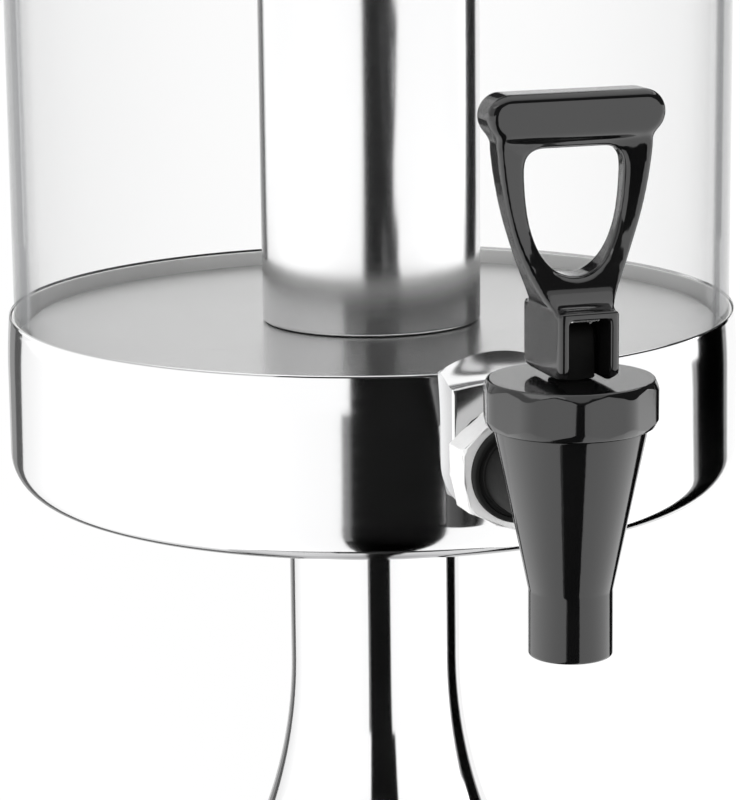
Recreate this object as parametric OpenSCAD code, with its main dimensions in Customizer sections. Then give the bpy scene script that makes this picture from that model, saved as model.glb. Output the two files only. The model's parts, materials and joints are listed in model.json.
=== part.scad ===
// Double juice dispenser: two clear containers on steel columns over one base, each with ice tube and tap.
// Millimetres, +Z up, taps facing -Y. The origin is on the table, under the middle of the base.

/* [Layout] */
// Distance between the two column axes
column_spacing = 250; // [225:1:320]
// Depth of the base in front of the drip trays
front_margin = 14; // [8:1:40]
// Depth of the base behind the columns' feet
back_margin = 18; // [8:1:40]
// Width of the base beside the columns' feet
side_margin = 35; // [25:1:80]

/* [Base] */
// Height of the base shell
base_h = 20; // [18:1:30]
// Radius of the base's upright corners
base_corner_r = 45; // [25:1:80]
// Radius of the base's rounded top edge
base_edge_r = 6; // [3:0.5:9]
// Sheet thickness of the base shell
base_wall = 1.2; // [0.8:0.1:2]
// Thickness of the plate that closes the base from below
plate_t = 1.5; // [1:0.1:3]
// Depth of the round recess that holds a drip tray
recess_depth = 1.5; // [1:0.5:5]

/* [Feet] */
// Radius of a rubber foot
foot_r = 11; // [8:0.5:16]
// Height of a rubber foot
foot_h = 4; // [3.5:0.5:8]
// Distance of the feet from the base's edges
foot_inset = 40; // [30:1:60]
// Radius of the foot screws
foot_screw_r = 2; // [1.5:0.1:3]
// Length of the foot screws under their heads
foot_screw_l = 12; // [9:0.5:14]
// Radius of the foot screws' heads
foot_head_r = 3.8; // [3.2:0.1:5]
// Thickness of the foot screws' heads
foot_head_t = 1.8; // [1.2:0.1:2.2]
// How deep the screw heads lie inside the feet
foot_head_depth = 0.3; // [0.2:0.1:1]
// Radius of the screw posts inside the base
post_r = 6; // [5:0.5:9]

/* [Columns] */
// Radius of the straight upper part of a column
stem_r = 23.6; // [18:0.1:30]
// Height of a column
stem_h = 163; // [140:1:200]
// Length of the straight upper part
stem_straight = 51; // [30:1:70]
// Radius of the flared foot
stem_foot_r = 85; // [60:1:92]
// Sheet thickness of a column
stem_wall = 1.2; // [0.8:0.1:2]
// Thickness of the plate that closes a column's top
stem_cap_t = 3; // [2:0.5:6]

/* [Tie rods] */
// Radius of the rod that clamps bowl, column and base together
rod_r = 4; // [3:0.5:6]
// Clearance of the rod in the sheets that it passes
rod_clearance = 0.4; // [0.2:0.1:1]
// Length of rod that stands out past each nut
rod_tail = 2; // [1:0.5:3]
// Radius of the rod's washers
washer_r = 9; // [8:0.5:14]
// Thickness of the rod's washers
washer_t = 1.6; // [1:0.1:2.5]
// Width of the rod's nuts across their flats
nut_af = 13; // [12:0.5:19]
// Height of the rod's nuts
nut_h = 5; // [4:0.5:6]

/* [Bowls] */
// Outer radius of a bowl
bowl_r = 100; // [90:1:108]
// Height of a bowl
bowl_h = 49; // [44:1:60]
// Radius of the bowl's lower corner
bowl_corner_r = 11; // [5:0.5:18]
// Sheet thickness of a bowl
bowl_wall = 1; // [0.8:0.1:1.5]
// Radius of the rolled bead on the bowl's rim
rim_bead_r = 0.6; // [0.5:0.05:0.9]
// How far the container floor lies below the rim
floor_drop = 4; // [1:0.1:5]
// Sheet thickness of the container floor
floor_t = 1.2; // [0.8:0.1:2]
// Depth of the groove that the container's foot stands in
groove_depth = 5; // [4:0.5:7]
// Distance of the drain hole's centre from the floor's edge
drain_inset = 14; // [12:0.5:20]
// Radius of the drain hole
drain_r = 6; // [4:0.5:8]

/* [Containers] */
// Length of the clear container tube
container_h = 252; // [200:1:320]
// Wall thickness of the container
container_wall = 3.6; // [2.5:0.1:6]
// Thickness of the gasket under the container's foot
gasket_t = 2; // [1:0.1:3]
// Thickness of the gasket's outer lip
gasket_lip = 0.8; // [0.5:0.05:1.5]
// Clearance of pieces that lift out of their seats
seat_clearance = 0.3; // [0.2:0.05:0.6]

/* [Lids] */
// Sheet thickness of a lid
lid_wall = 0.8; // [0.6:0.1:1.5]
// Clearance of the lid round the container and the ice tube
lid_clearance = 0.5; // [0.3:0.1:1]
// Height of the lid's skirt round the container
lid_skirt = 12; // [8:0.5:20]
// Rise of the lid's dome above the container
lid_rise = 20; // [12:0.5:30]

/* [Ice tubes] */
// Outer radius of an ice tube
tube_r = 30; // [20:0.5:36]
// Sheet thickness of an ice tube
tube_wall = 0.8; // [0.6:0.1:1.2]
// Radius of the tube's lower corner
tube_corner_r = 1.5; // [1:0.5:8]
// Gap between the ice tube's bottom and the container floor
tube_gap = 0.6; // [0.4:0.1:2]
// Width of the flange that hangs the tube in the lid
flange_w = 6.5; // [5:0.5:10]
// Thickness of the flange
flange_t = 1.2; // [0.8:0.1:2]

/* [Ice caps] */
// Sheet thickness of an ice tube's cap
cap_wall = 0.9; // [0.6:0.1:1.5]
// Rise of the cap's dome
cap_rise = 6; // [3:0.5:10]
// Radius of the cap's knob
knob_r = 13; // [9:0.5:18]
// Height of the knob's neck
knob_neck_h = 7; // [4:0.5:12]
// Radius of the knob's neck
knob_neck_r = 6; // [4.5:0.5:8]
// Radius of the knob's screw
knob_screw_r = 2.5; // [2:0.1:3]
// Length of the knob's screw under its head
knob_screw_l = 18; // [10:0.5:20]
// Radius of the knob screw's head
knob_head_r = 5; // [4:0.1:6]
// Thickness of the knob screw's head
knob_head_t = 2.5; // [1.5:0.1:3]

/* [Tap mountings] */
// Distance of the tap's shank below the bowl's rim
tap_drop = 22.2; // [20:0.1:28]
// Distance of the tap's upright axis in front of the bowl
tap_reach = 49; // [44:0.5:60]
// How far the boss on the bowl stands out
boss_out = 4.5; // [3:0.5:6]
// Half the boss's width at the bowl
boss_half_w = 15; // [13:0.5:18]
// How far the boss narrows from the bowl to its face
boss_taper = 1.6; // [1:0.1:4]
// Radius of the boss's arched top
boss_arch_r = 27.2; // [26:0.1:31]
// Height of the boss's face above the shank
boss_face_top = 20.7; // [17:0.1:22]
// Width of the steel hexagon across its flats
hex_af = 27.5; // [26:0.5:34]
// Thickness of the steel hexagon
hex_t = 10; // [7:0.5:12]
// Chamfer on the hexagon's corners
hex_chamfer = 1.2; // [0.5:0.1:2]
// Turn of the hexagon round the shank
hex_turn = 37; // [0:1:60]
// Outer radius of the hexagon's tail, inside the bowl
tail_r = 10; // [9:0.1:10.6]
// Radius of the black sealing washer
seal_r = 11.8; // [10.5:0.1:13]
// Thickness of the black sealing washer
seal_t = 2.5; // [1.5:0.1:3]
// Wall of the drain elbow inside the bowl
elbow_wall = 1.5; // [1:0.1:2.5]
// Clearance of pieces that screw or plug together
plug_clearance = 0.05; // [0.03:0.01:0.1]

/* [Tap bodies] */
// Radius of the tap's threaded shank
shank_r = 8; // [7:0.1:8.5]
// How far the shank reaches into the bowl
shank_reach_in = 3; // [1:0.5:6]
// How far the shank's collar stands out from the thread
shank_collar = 1.6; // [1:0.1:2.5]
// Radius of the shank's bore
shank_bore_r = 5; // [4:0.1:5.5]
// Radius of the spout tube
spout_r = 10; // [8.6:0.1:10.5]
// Radius of the spout's bore
spout_bore_r = 7.4; // [6.5:0.1:8]
// Length of the straight spout tube
spout_l = 16; // [10:0.5:24]
// Distance of the spout tube's top below the shank
cone_drop = 20.4; // [18:0.1:26]
// Height of the cone's top above the shank
cone_top = 18.7; // [15:0.1:20]
// Radius of the cone's top
cone_r = 18.1; // [16.5:0.1:19]
// How far the threaded neck is set in from the cone
neck_step = 1.5; // [1:0.1:2]
// Wall thickness of the threaded neck
neck_wall = 2.5; // [2:0.1:3]
// Distance of the valve seat below the shank
seat_drop = 10; // [8:0.1:11]
// Thickness of the valve seat
seat_t = 2; // [1.5:0.1:3]
// Radius of the valve seat's hole
seat_hole_r = 5.6; // [4.5:0.1:6]

/* [Bonnets] */
// Distance across the bonnet's corners
bonnet_w = 42; // [41:0.5:46]
// Height of the bonnet
bonnet_h = 11.2; // [11:0.1:16]
// Thickness of the bonnet's top
bonnet_top_t = 3.8; // [3:0.1:5]
// Chamfer on the bonnet's edges
bonnet_chamfer = 2; // [1:0.1:3]
// Number of the bonnet's sides
bonnet_sides = 10; // [8:1:12]
// Turn of the bonnet round the tap's upright axis
bonnet_turn = 3.5; // [0:0.5:36]
// Gap between the bonnet and the cone
bonnet_gap = 0.2; // [0.1:0.05:0.5]

/* [Handles] */
// Height of the handle
handle_h = 66.5; // [60:0.5:80]
// Width of the handle's foot
handle_foot_w = 15; // [14:0.5:20]
// Depth of the handle's foot
handle_foot_d = 24; // [20:0.5:26]
// Height of the handle's foot
handle_foot_h = 17; // [16:0.1:19]
// Rounding of the foot's lower front and back edges
foot_round = 4.5; // [3:0.5:6]
// Bevel of the foot's lower side edges
foot_bevel = 2; // [1:0.5:3]
// Height of the bend between the foot and the arms
waist_h = 16; // [10:0.5:22]
// Width across the handle's arms at the bar
handle_arm_w = 38.8; // [35:0.1:42]
// Width of one arm
arm_t = 6.8; // [4:0.1:8]
// Depth of the arms
arm_d = 7; // [6:0.5:10]
// How far the arms' curved outlines lean over their length
arm_lean = 1; // [0:0.5:3]
// Width of the bar
bar_w = 43.2; // [40:0.1:50]
// Height of the bar
bar_h = 10; // [8:0.1:13]
// Depth of the bar
bar_d = 10.6; // [8:0.1:13]
// Height of the finger window's lower end above the foot's bottom
window_low = 24.1; // [23:0.1:29]
// Height over which the window widens from its lower end
window_round_h = 23; // [15:0.5:23]
// Radius of the window's upper corners
window_corner_r = 5; // [3:0.5:7]
// Rib between the window and the bar
window_rib = 2.9; // [1:0.1:3]
// Radius of the pivot pin
pin_r = 1.6; // [1.2:0.1:2]
// Height of the pivot pin above the foot's bottom
pin_h = 9; // [8:0.1:10]
// Wall that closes the pin's hole on the left
pin_wall = 1.5; // [1:0.1:2]
// Gap between the handle's foot and the bonnet at rest
handle_gap = 0.3; // [0.2:0.05:0.5]

/* [Valves] */
// Radius of the valve stem
valve_r = 3.2; // [2.8:0.1:3.5]
// Width of the stem's eye
eye_w = 9; // [7:0.1:9.5]
// Depth of the stem's eye
eye_d = 7; // [6.5:0.1:8]
// Gap beside the stem's eye in the handle's slot
eye_gap = 0.5; // [0.3:0.1:1]
// Room over the eye in the handle's slot
eye_room = 2.7; // [1.5:0.1:3]
// Running clearance of the pin and the stem
run_clearance = 0.05; // [0.02:0.01:0.1]
// Outer radius of the rubber seat cup
cup_r = 7.8; // [7.3:0.1:8.5]
// Wall thickness of the seat cup
cup_wall = 1.2; // [0.8:0.1:1.5]
// Thickness of the seat cup's plug
cup_plug_t = 5; // [4:0.1:6]
// Thickness of the seat cup's flange
cup_flange_t = 1.2; // [0.8:0.1:2]
// Radius of the stem's barb in the plug
barb_r = 2.4; // [2:0.1:2.8]
// Length of the stem's barb
barb_l = 3; // [2:0.1:3.5]
// Thickness of the stem's shoulder under the spring
shoulder_t = 2; // [1:0.1:3]
// Gap between the shoulder and the seat cup
shoulder_gap = 0.8; // [0.4:0.1:1]
// Wire radius of the spring
wire_r = 0.5; // [0.3:0.05:0.6]
// Turns of the spring
spring_turns = 8; // [5:1:10]

/* [Drip trays] */
// Outer radius of a drip tray's rim
tray_r = 54; // [45:0.5:58]
// Height of a drip tray
tray_h = 18; // [14:0.5:24]
// Sheet thickness of a drip tray
tray_wall = 1; // [0.8:0.1:1.5]
// Width of the ledge that carries the grille
ledge_w = 4; // [3:0.5:6]
// Depth of the ledge below the tray's rim
ledge_drop = 5; // [3:0.5:8]
// Thickness of the grille
grille_t = 2; // [1.5:0.1:3]
// Width of the grille's slots
grille_slot_w = 4; // [3:0.5:6]
// Spacing of the grille's slots
grille_pitch = 9; // [7:0.5:12]

/* [Hidden] */
$fn = 96;
hull_fn = 32;
outline_steps = 10;
cut = 1;
left = -1;
right = 1;

// Bowl, container and drain
bowl_in_r = bowl_r - bowl_wall;
container_r = bowl_in_r - seat_clearance - gasket_lip;
container_in_r = container_r - container_wall;
pan_r = container_in_r - seat_clearance;
drain_s = pan_r - drain_inset;
tail_end_s = drain_s + drain_r + elbow_wall;
elbow_start_s = drain_s - drain_r - 2 * elbow_wall;
elbow_end_s = pan_r - floor_t - seat_clearance;
tail_hole_r = tail_r + plug_clearance;
elbow_r = tail_hole_r + elbow_wall;

// Places along the shank, out from the column's axis
tap_s = bowl_r + tap_reach;
boss_s = bowl_r + boss_out;
hex_front_s = boss_s + hex_t;
seal_front_s = hex_front_s + seal_t;
shank_end_s = bowl_in_r - shank_reach_in;

// Base
tray_low_r = tray_r - ledge_w;
base_w = column_spacing + 2 * (stem_foot_r + side_margin);
base_d = front_margin + tray_r + tap_s + stem_foot_r + back_margin;
column_y = base_d / 2 - back_margin - stem_foot_r;

// Heights
foot_head_top = foot_head_depth + foot_head_t;
base_top = foot_h + base_h;
plate_top = foot_h + plate_t;
tray_z = base_top - recess_depth;
ledge_z = tray_z + tray_h - ledge_drop;
stem_top = base_top + stem_h;
rim_z = stem_top + bowl_h;
floor_z = rim_z - floor_drop;
groove_z = floor_z - groove_depth;
container_z = groove_z + gasket_t;
container_top = container_z + container_h;
tap_z = rim_z - tap_drop;
spout_z = tap_z - cone_drop - spout_l;
seat_z = tap_z - seat_drop;
bonnet_z = tap_z + cone_top + bonnet_gap;
bonnet_top = bonnet_z + bonnet_h;
bonnet_ceiling = bonnet_top - bonnet_top_t;
neck_top = bonnet_ceiling - cup_flange_t;
handle_z = bonnet_top + handle_gap;
pin_z = handle_z + pin_h;

// Columns and rods
rod_hole_r = rod_r + rod_clearance;
rod_low = base_top - base_wall - washer_t - nut_h - rod_tail;
rod_high = stem_top + bowl_wall + washer_t + nut_h + rod_tail;
flare_h = stem_h - stem_straight;
flare_out = stem_foot_r - stem_r;
flare_r = (flare_out * flare_out + flare_h * flare_h) / (2 * flare_out);

// Valve
neck_r = cone_r - neck_step;
chamber_r = neck_r - neck_wall;
plug_top = seat_z + cup_plug_t;
shoulder_r = cup_r - cup_wall - shoulder_gap;
spring_z = plug_top + shoulder_t;
spring_l = bonnet_ceiling - spring_z;
spring_r = (shoulder_r + valve_r) / 2;

// Lid, ice tube and cap, whose domes are parts of spheres
function dome_radius(r, rise) = (r * r + rise * rise) / (2 * rise);
function dome_height(radius, r) = sqrt(radius * radius - r * r);
lid_r = container_r + lid_clearance + lid_wall;
lid_hole_r = tube_r + lid_clearance;
lid_dome_r = dome_radius(lid_r, lid_rise);
lid_dome_z = container_top + lid_wall + lid_rise - lid_dome_r;
lid_hole_z = lid_dome_z + dome_height(lid_dome_r, lid_hole_r);
flange_r = tube_r + flange_w;
flange_top = lid_hole_z + flange_t;
cap_r = flange_r + seat_clearance + cap_wall;
cap_low = lid_hole_z + flange_t / 2;
cap_dome_r = dome_radius(cap_r, cap_rise);
cap_dome_z = flange_top + cap_wall + cap_rise - cap_dome_r;
cap_top = cap_dome_z + cap_dome_r;
knob_z = cap_top + knob_neck_h + dome_height(knob_r, knob_neck_r);
knob_head_z = cap_dome_z + dome_height(cap_dome_r - cap_wall, knob_head_r);

polished = "gainsboro";
brushed = "darkgray";
black_plastic = "dimgray";
rubber = "black";
silicone = "silver";

// Places

module at_column(side) { translate([side * column_spacing / 2, column_y, 0]) children(); }

module at_spout(side) { at_column(side) translate([0, -tap_s, 0]) children(); }

// Here z runs from the column's axis out along the tap's shank, and y runs up
module along_shank(side, s) {
    at_column(side) translate([0, 0, tap_z]) rotate([90, 0, 0]) translate([0, 0, s]) children();
}

module at_feet() {
    for (x = [-1, 0, 1], y = [-1, 1])
        translate([x * (base_w / 2 - foot_inset), y * (base_d / 2 - foot_inset), 0]) children();
}

module at_rod_ends(low_z, high_z) {
    for (side = [left, right], z = [low_z, high_z]) at_column(side) translate([0, 0, z]) children();
}

// Shared shapes

module hole(r, h) { translate([0, 0, -cut]) cylinder(r = r, h = h + 2 * cut); }

module ring(r_out, r_in, h) {
    difference() {
        cylinder(r = r_out, h = h);
        hole(r_in, h);
    }
}

// A round block whose cones take the corners off a nut, and whose middle stands clear of them
module nut_corners(corner_r, h, width, height) {
    clear_r = corner_r + cut;
    clear_h = height * (width + cut) / width;
    cylinder(r1 = corner_r - width, r2 = clear_r, h = clear_h);
    translate([0, 0, clear_h]) cylinder(r = clear_r, h = h - 2 * clear_h);
    translate([0, 0, h - clear_h]) cylinder(r1 = clear_r, r2 = corner_r - width, h = clear_h);
}

module rounded_rectangle(w, d, r) {
    square([w - 2 * r, d], center = true);
    square([w, d - 2 * r], center = true);
    for (x = [-1, 1], y = [-1, 1]) translate([x * (w / 2 - r), y * (d / 2 - r)]) circle(r);
}

// A block with upright rounded corners and a rounded top edge
module pillow_slab(w, d, h, corner, edge) {
    hull() for (x = [-1, 1], y = [-1, 1]) translate([x * (w / 2 - corner), y * (d / 2 - corner), 0]) {
        cylinder(r = corner, h = h - edge, $fn = hull_fn);
        translate([0, 0, h - edge]) rotate_extrude($fn = hull_fn) translate([corner - edge, 0])
            intersection() {
                circle(edge, $fn = hull_fn);
                square([edge, edge]);
            }
    }
}

// Filled half section of a cup with a rounded lower corner
module cup_outline(r, h, corner) {
    square([r - corner, h]);
    translate([0, corner]) square([r, h - corner]);
    translate([r - corner, corner]) intersection() {
        circle(corner);
        translate([0, -corner]) square(corner);
    }
}

module cup_section(r, h, corner, wall) {
    difference() {
        cup_outline(r, h, corner);
        translate([0, wall]) cup_outline(r - wall, h, corner - wall);
    }
}

// Half section of a domed sheet between two radii
module dome_section(outer_r, sheet, r_from, r_to) {
    intersection() {
        difference() {
            circle(outer_r);
            circle(outer_r - sheet);
        }
        translate([r_from, 0]) square([r_to - r_from, outer_r]);
    }
}

// Points of a quadratic curve from a to c that is drawn towards b
function curve(a, b, c) = [for (i = [0 : outline_steps]) let (t = i / outline_steps)
    (1 - t) * (1 - t) * a + 2 * t * (1 - t) * b + t * t * c];

// The points of a right-hand outline, followed by its left-hand mirror image
function mirrored(points) = concat(points,
    [for (i = [len(points) - 1 : -1 : 0]) [-points[i][0], points[i][1]]]);

// Base

module base_shell() {
    recess_r = tray_low_r + seat_clearance;
    color(brushed) difference() {
        union() {
            difference() {
                translate([0, 0, foot_h]) pillow_slab(base_w, base_d, base_h, base_corner_r, base_edge_r);
                translate([0, 0, foot_h - cut]) pillow_slab(base_w - 2 * base_wall, base_d - 2 * base_wall,
                    base_h - base_wall + cut, base_corner_r - base_wall, base_edge_r - base_wall);
            }
            for (side = [left, right]) at_spout(side) translate([0, 0, tray_z - base_wall])
                cylinder(r = recess_r + base_wall, h = recess_depth + base_wall / 2);
            at_feet() translate([0, 0, plate_top]) cylinder(r = post_r, h = base_h - plate_t - base_wall / 2);
        }
        for (side = [left, right]) {
            at_spout(side) translate([0, 0, tray_z]) cylinder(r = recess_r, h = recess_depth + cut);
            at_column(side) cylinder(r = rod_hole_r, h = base_top + cut);
        }
        at_feet() cylinder(r = foot_screw_r + plug_clearance, h = foot_head_top + foot_screw_l + cut);
    }
}

module base_plate() {
    inset = base_wall + seat_clearance;
    color(brushed) translate([0, 0, foot_h]) difference() {
        linear_extrude(plate_t)
            rounded_rectangle(base_w - 2 * inset, base_d - 2 * inset, base_corner_r - inset);
        at_feet() hole(foot_screw_r + plug_clearance, plate_t);
    }
}

module feet() {
    color(rubber) at_feet() difference() {
        cylinder(r = foot_r, h = foot_h);
        hole(foot_screw_r + plug_clearance, foot_h);
        translate([0, 0, -cut]) cylinder(r = foot_head_r + seat_clearance, h = cut + foot_head_top);
    }
}

module foot_screws() {
    color(brushed) at_feet() translate([0, 0, foot_head_depth]) {
        cylinder(r = foot_head_r, h = foot_head_t);
        cylinder(r = foot_screw_r, h = foot_head_t + foot_screw_l);
    }
}

// Tie rods with their washers and nuts

module tie_rods() {
    color(brushed) for (side = [left, right]) at_column(side)
        translate([0, 0, rod_low]) cylinder(r = rod_r, h = rod_high - rod_low);
}

module rod_washers() {
    color(brushed) at_rod_ends(base_top - base_wall - washer_t, stem_top + bowl_wall)
        ring(washer_r, rod_r + plug_clearance, washer_t);
}

module rod_nuts() {
    color(brushed) at_rod_ends(rod_low + rod_tail, stem_top + bowl_wall + washer_t) difference() {
        cylinder(d = nut_af / cos(30), h = nut_h, $fn = 6);
        hole(rod_r + plug_clearance, nut_h);
    }
}

// Column: a straight tube that flares to a wide foot along an arc

module column(side) {
    color(polished) at_column(side) translate([0, 0, base_top]) rotate_extrude() {
        translate([stem_r - stem_wall, flare_h]) square([stem_wall, stem_straight]);
        translate([rod_hole_r, stem_h - stem_cap_t])
            square([stem_r - stem_wall / 2 - rod_hole_r, stem_cap_t]);
        intersection() {
            translate([stem_r + flare_r, flare_h]) difference() {
                circle(flare_r + stem_wall);
                circle(flare_r);
            }
            square([stem_foot_r, flare_h]);
        }
    }
}

// Bowl, container floor and drain

module bowl(side) {
    bead_z = bowl_h - rim_bead_r;
    color(polished) difference() {
        at_column(side) translate([0, 0, stem_top]) rotate_extrude() {
            difference() {
                cup_section(bowl_r, bead_z, bowl_corner_r, bowl_wall);
                translate([-cut, -cut]) square([rod_hole_r + cut, bowl_wall + 2 * cut]);
            }
            translate([bowl_in_r + rim_bead_r, bead_z]) circle(rim_bead_r);
        }
        along_shank(side, elbow_end_s) cylinder(r = tail_hole_r, h = boss_s - elbow_end_s);
    }
}

module floor_pan(side) {
    color(brushed) difference() {
        at_column(side) translate([0, 0, groove_z]) rotate_extrude() {
            translate([0, groove_depth - floor_t]) square([pan_r, floor_t]);
            translate([pan_r - floor_t, 0]) square([floor_t, groove_depth]);
            translate([pan_r - floor_t, -floor_t]) square([bowl_in_r - pan_r + floor_t, floor_t]);
        }
        at_column(side) translate([0, -drain_s, floor_z - floor_t]) hole(drain_r, floor_t);
    }
}

module drain_elbow(side) {
    color(brushed) difference() {
        union() {
            at_column(side) translate([0, -drain_s, tap_z])
                cylinder(r = drain_r + elbow_wall, h = floor_z - floor_t - tap_z);
            along_shank(side, elbow_start_s) cylinder(r = elbow_r, h = elbow_end_s - elbow_start_s);
        }
        at_column(side) translate([0, -drain_s, tap_z]) cylinder(r = drain_r, h = tap_drop);
        along_shank(side, elbow_start_s + elbow_wall)
            cylinder(r = tail_hole_r, h = elbow_end_s - elbow_start_s);
    }
}

module shank_gasket(side) {
    color(rubber) intersection() {
        along_shank(side, elbow_end_s) ring(elbow_r, tail_hole_r, boss_s - elbow_end_s);
        at_column(side) cylinder(r = bowl_in_r, h = rim_z);
    }
}

// Pressed boss on the bowl: an arched hood that slopes down to a flat face for the hexagon
module tap_boss(side) {
    skin = 0.1;
    face_half_w = boss_half_w - boss_taper;
    color(polished) difference() {
        hull() {
            along_shank(side, elbow_end_s) linear_extrude(bowl_r - elbow_end_s) {
                circle(boss_half_w, $fn = hull_fn);
                intersection() {
                    circle(boss_arch_r, $fn = 2 * hull_fn);
                    translate([-boss_half_w, 0]) square([2 * boss_half_w, boss_arch_r]);
                }
            }
            along_shank(side, boss_s - skin) linear_extrude(skin) {
                circle(face_half_w, $fn = hull_fn);
                translate([-face_half_w, 0]) square([2 * face_half_w, boss_face_top]);
            }
        }
        at_column(side) {
            cylinder(r = bowl_in_r, h = container_top);
            cylinder(r = bowl_r, h = rim_z);
            translate([0, 0, rim_z - 2 * rim_bead_r])
                cylinder(r = bowl_in_r + 2 * rim_bead_r, h = 2 * rim_bead_r);
        }
        along_shank(side, elbow_end_s) hole(tail_hole_r, boss_s - elbow_end_s);
    }
}

// Tap

module shank_hexagon(side) {
    corner_r = hex_af / 2 / cos(30);
    color(polished) difference() {
        union() {
            along_shank(side, boss_s) intersection() {
                rotate([0, 0, hex_turn]) cylinder(r = corner_r, h = hex_t, $fn = 6);
                nut_corners(corner_r, hex_t, hex_chamfer, hex_chamfer / 2);
            }
            along_shank(side, tail_end_s) cylinder(r = tail_r, h = boss_s - tail_end_s + hex_t / 2);
        }
        along_shank(side, tail_end_s) hole(shank_r + plug_clearance, hex_front_s - tail_end_s);
    }
}

module seal_washer(side) {
    color(rubber) along_shank(side, hex_front_s) ring(seal_r, shank_r + plug_clearance, seal_t);
}

module tap_body(side) {
    cone_h = cone_top + cone_drop;
    color(black_plastic) difference() {
        union() {
            at_spout(side) translate([0, 0, spout_z]) {
                cylinder(r = spout_r, h = spout_l);
                translate([0, 0, spout_l]) cylinder(r1 = spout_r, r2 = cone_r, h = cone_h);
                translate([0, 0, spout_l + cone_h]) cylinder(r = neck_r, h = neck_top - tap_z - cone_top);
            }
            along_shank(side, shank_end_s) cylinder(r = shank_r, h = tap_s - shank_end_s);
            along_shank(side, seal_front_s) cylinder(r = shank_r + shank_collar, h = tap_s - seal_front_s);
        }
        at_spout(side) {
            translate([0, 0, spout_z]) hole(seat_hole_r, neck_top - spout_z);
            translate([0, 0, spout_z - cut]) cylinder(r = spout_bore_r, h = seat_z - seat_t - spout_z + cut);
            translate([0, 0, seat_z])
                cylinder(r1 = cup_r + seat_clearance, r2 = chamber_r, h = seat_drop + cone_top);
            translate([0, 0, tap_z + cone_top])
                cylinder(r = chamber_r, h = neck_top - tap_z - cone_top + cut);
        }
        along_shank(side, shank_end_s - cut) cylinder(r = shank_bore_r, h = tap_s - shank_end_s);
    }
}

module bonnet(side) {
    color(black_plastic) at_spout(side) translate([0, 0, bonnet_z]) difference() {
        intersection() {
            rotate([0, 0, bonnet_turn]) cylinder(d = bonnet_w, h = bonnet_h, $fn = bonnet_sides);
            nut_corners(bonnet_w / 2, bonnet_h, bonnet_chamfer, bonnet_chamfer);
        }
        translate([0, 0, -cut]) cylinder(r = neck_r + plug_clearance, h = bonnet_h - bonnet_top_t + cut);
        hole(valve_r + run_clearance, bonnet_h);
    }
}

// Rubber cup: its plug closes the seat, its bell keeps the spring dry and its flange is clamped by the bonnet
module seat_cup(side) {
    flare_r_out = chamber_r - plug_clearance;
    bell_top = neck_top - flare_r_out + cup_r;
    color(rubber) at_spout(side) rotate_extrude() {
        translate([0, seat_z]) difference() {
            square([cup_r, cup_plug_t]);
            translate([-cut, cup_plug_t - barb_l]) square([barb_r + cut, barb_l + cut]);
        }
        translate([cup_r - cup_wall, seat_z]) square([cup_wall, bell_top - seat_z]);
        polygon([[cup_r - cup_wall, bell_top], [cup_r, bell_top - cup_wall],
            [flare_r_out, neck_top - cup_wall], [flare_r_out, neck_top], [neck_r, neck_top],
            [neck_r, bonnet_ceiling], [flare_r_out - cup_wall, bonnet_ceiling]]);
    }
}

module valve_stem(side) {
    color(black_plastic) at_spout(side) difference() {
        union() {
            translate([0, 0, plug_top - barb_l]) cylinder(r = barb_r, h = barb_l + shoulder_t);
            translate([0, 0, plug_top]) cylinder(r = shoulder_r, h = shoulder_t);
            translate([0, 0, plug_top]) cylinder(r = valve_r, h = pin_z - plug_top);
            translate([-eye_w / 2, -eye_d / 2, handle_z]) cube([eye_w, eye_d, pin_h]);
            translate([0, 0, pin_z]) rotate([0, 90, 0]) cylinder(d = eye_d, h = eye_w, center = true);
        }
        translate([0, 0, pin_z]) rotate([0, 90, 0])
            cylinder(r = pin_r + run_clearance, h = eye_w + 2 * cut, center = true);
    }
}

// Spring: one wire swept along a helix, with rings of points joined by triangles
spring_sides = 6;
spring_steps = 8;
spring_rings = spring_turns * spring_steps;
spring_pitch = (spring_l - 2 * wire_r) / spring_turns;

function helix_point(t) = [spring_r * cos(360 * t), spring_r * sin(360 * t), wire_r + spring_pitch * t];

function wire_ring(t) = [for (k = [0 : spring_sides - 1]) let (a = 360 * k / spring_sides)
    helix_point(t) + wire_r * [cos(a) * cos(360 * t), cos(a) * sin(360 * t), sin(a)]];

module wire_helix() {
    points = [for (i = [0 : spring_rings]) each wire_ring(i / spring_steps)];
    walls = [for (i = [0 : spring_rings - 1], k = [0 : spring_sides - 1])
        let (a = i * spring_sides + k, b = i * spring_sides + (k + 1) % spring_sides)
        each [[a, b, b + spring_sides], [a, b + spring_sides, a + spring_sides]]];
    last = spring_rings * spring_sides;
    ends = [for (k = [1 : spring_sides - 2]) each [[0, k + 1, k], [last, last + k, last + k + 1]]];
    polyhedron(points, concat(walls, ends));
}

spring_gap = min([for (t = [1 : 1 / spring_steps : spring_turns])
    norm(helix_point(t) - helix_point(t - 1)) - 2 * wire_r]);
echo(least_gap_between_spring_turns = spring_gap);

module valve_spring(side) {
    color("silver") at_spout(side) translate([0, 0, spring_z]) wire_helix();
}

// Handle: a front outline and a side outline, both extruded and intersected

arm_top = handle_h - bar_h / 2;
arm_half_w = handle_arm_w / 2;
pin_x = pin_wall - handle_foot_w / 2;

module handle_front() {
    half_w = handle_foot_w / 2;
    arm_edge = curve([half_w, handle_foot_h], [arm_half_w - arm_lean, window_low + bar_h],
        [arm_half_w, arm_top]);
    polygon(mirrored(concat([[half_w - foot_bevel, 0], [half_w, foot_bevel]], arm_edge)));
    translate([0, arm_top]) square([bar_w - bar_h, bar_h], center = true);
    for (x = [-1, 1]) translate([x * (bar_w - bar_h) / 2, arm_top]) circle(d = bar_h);
}

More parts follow.
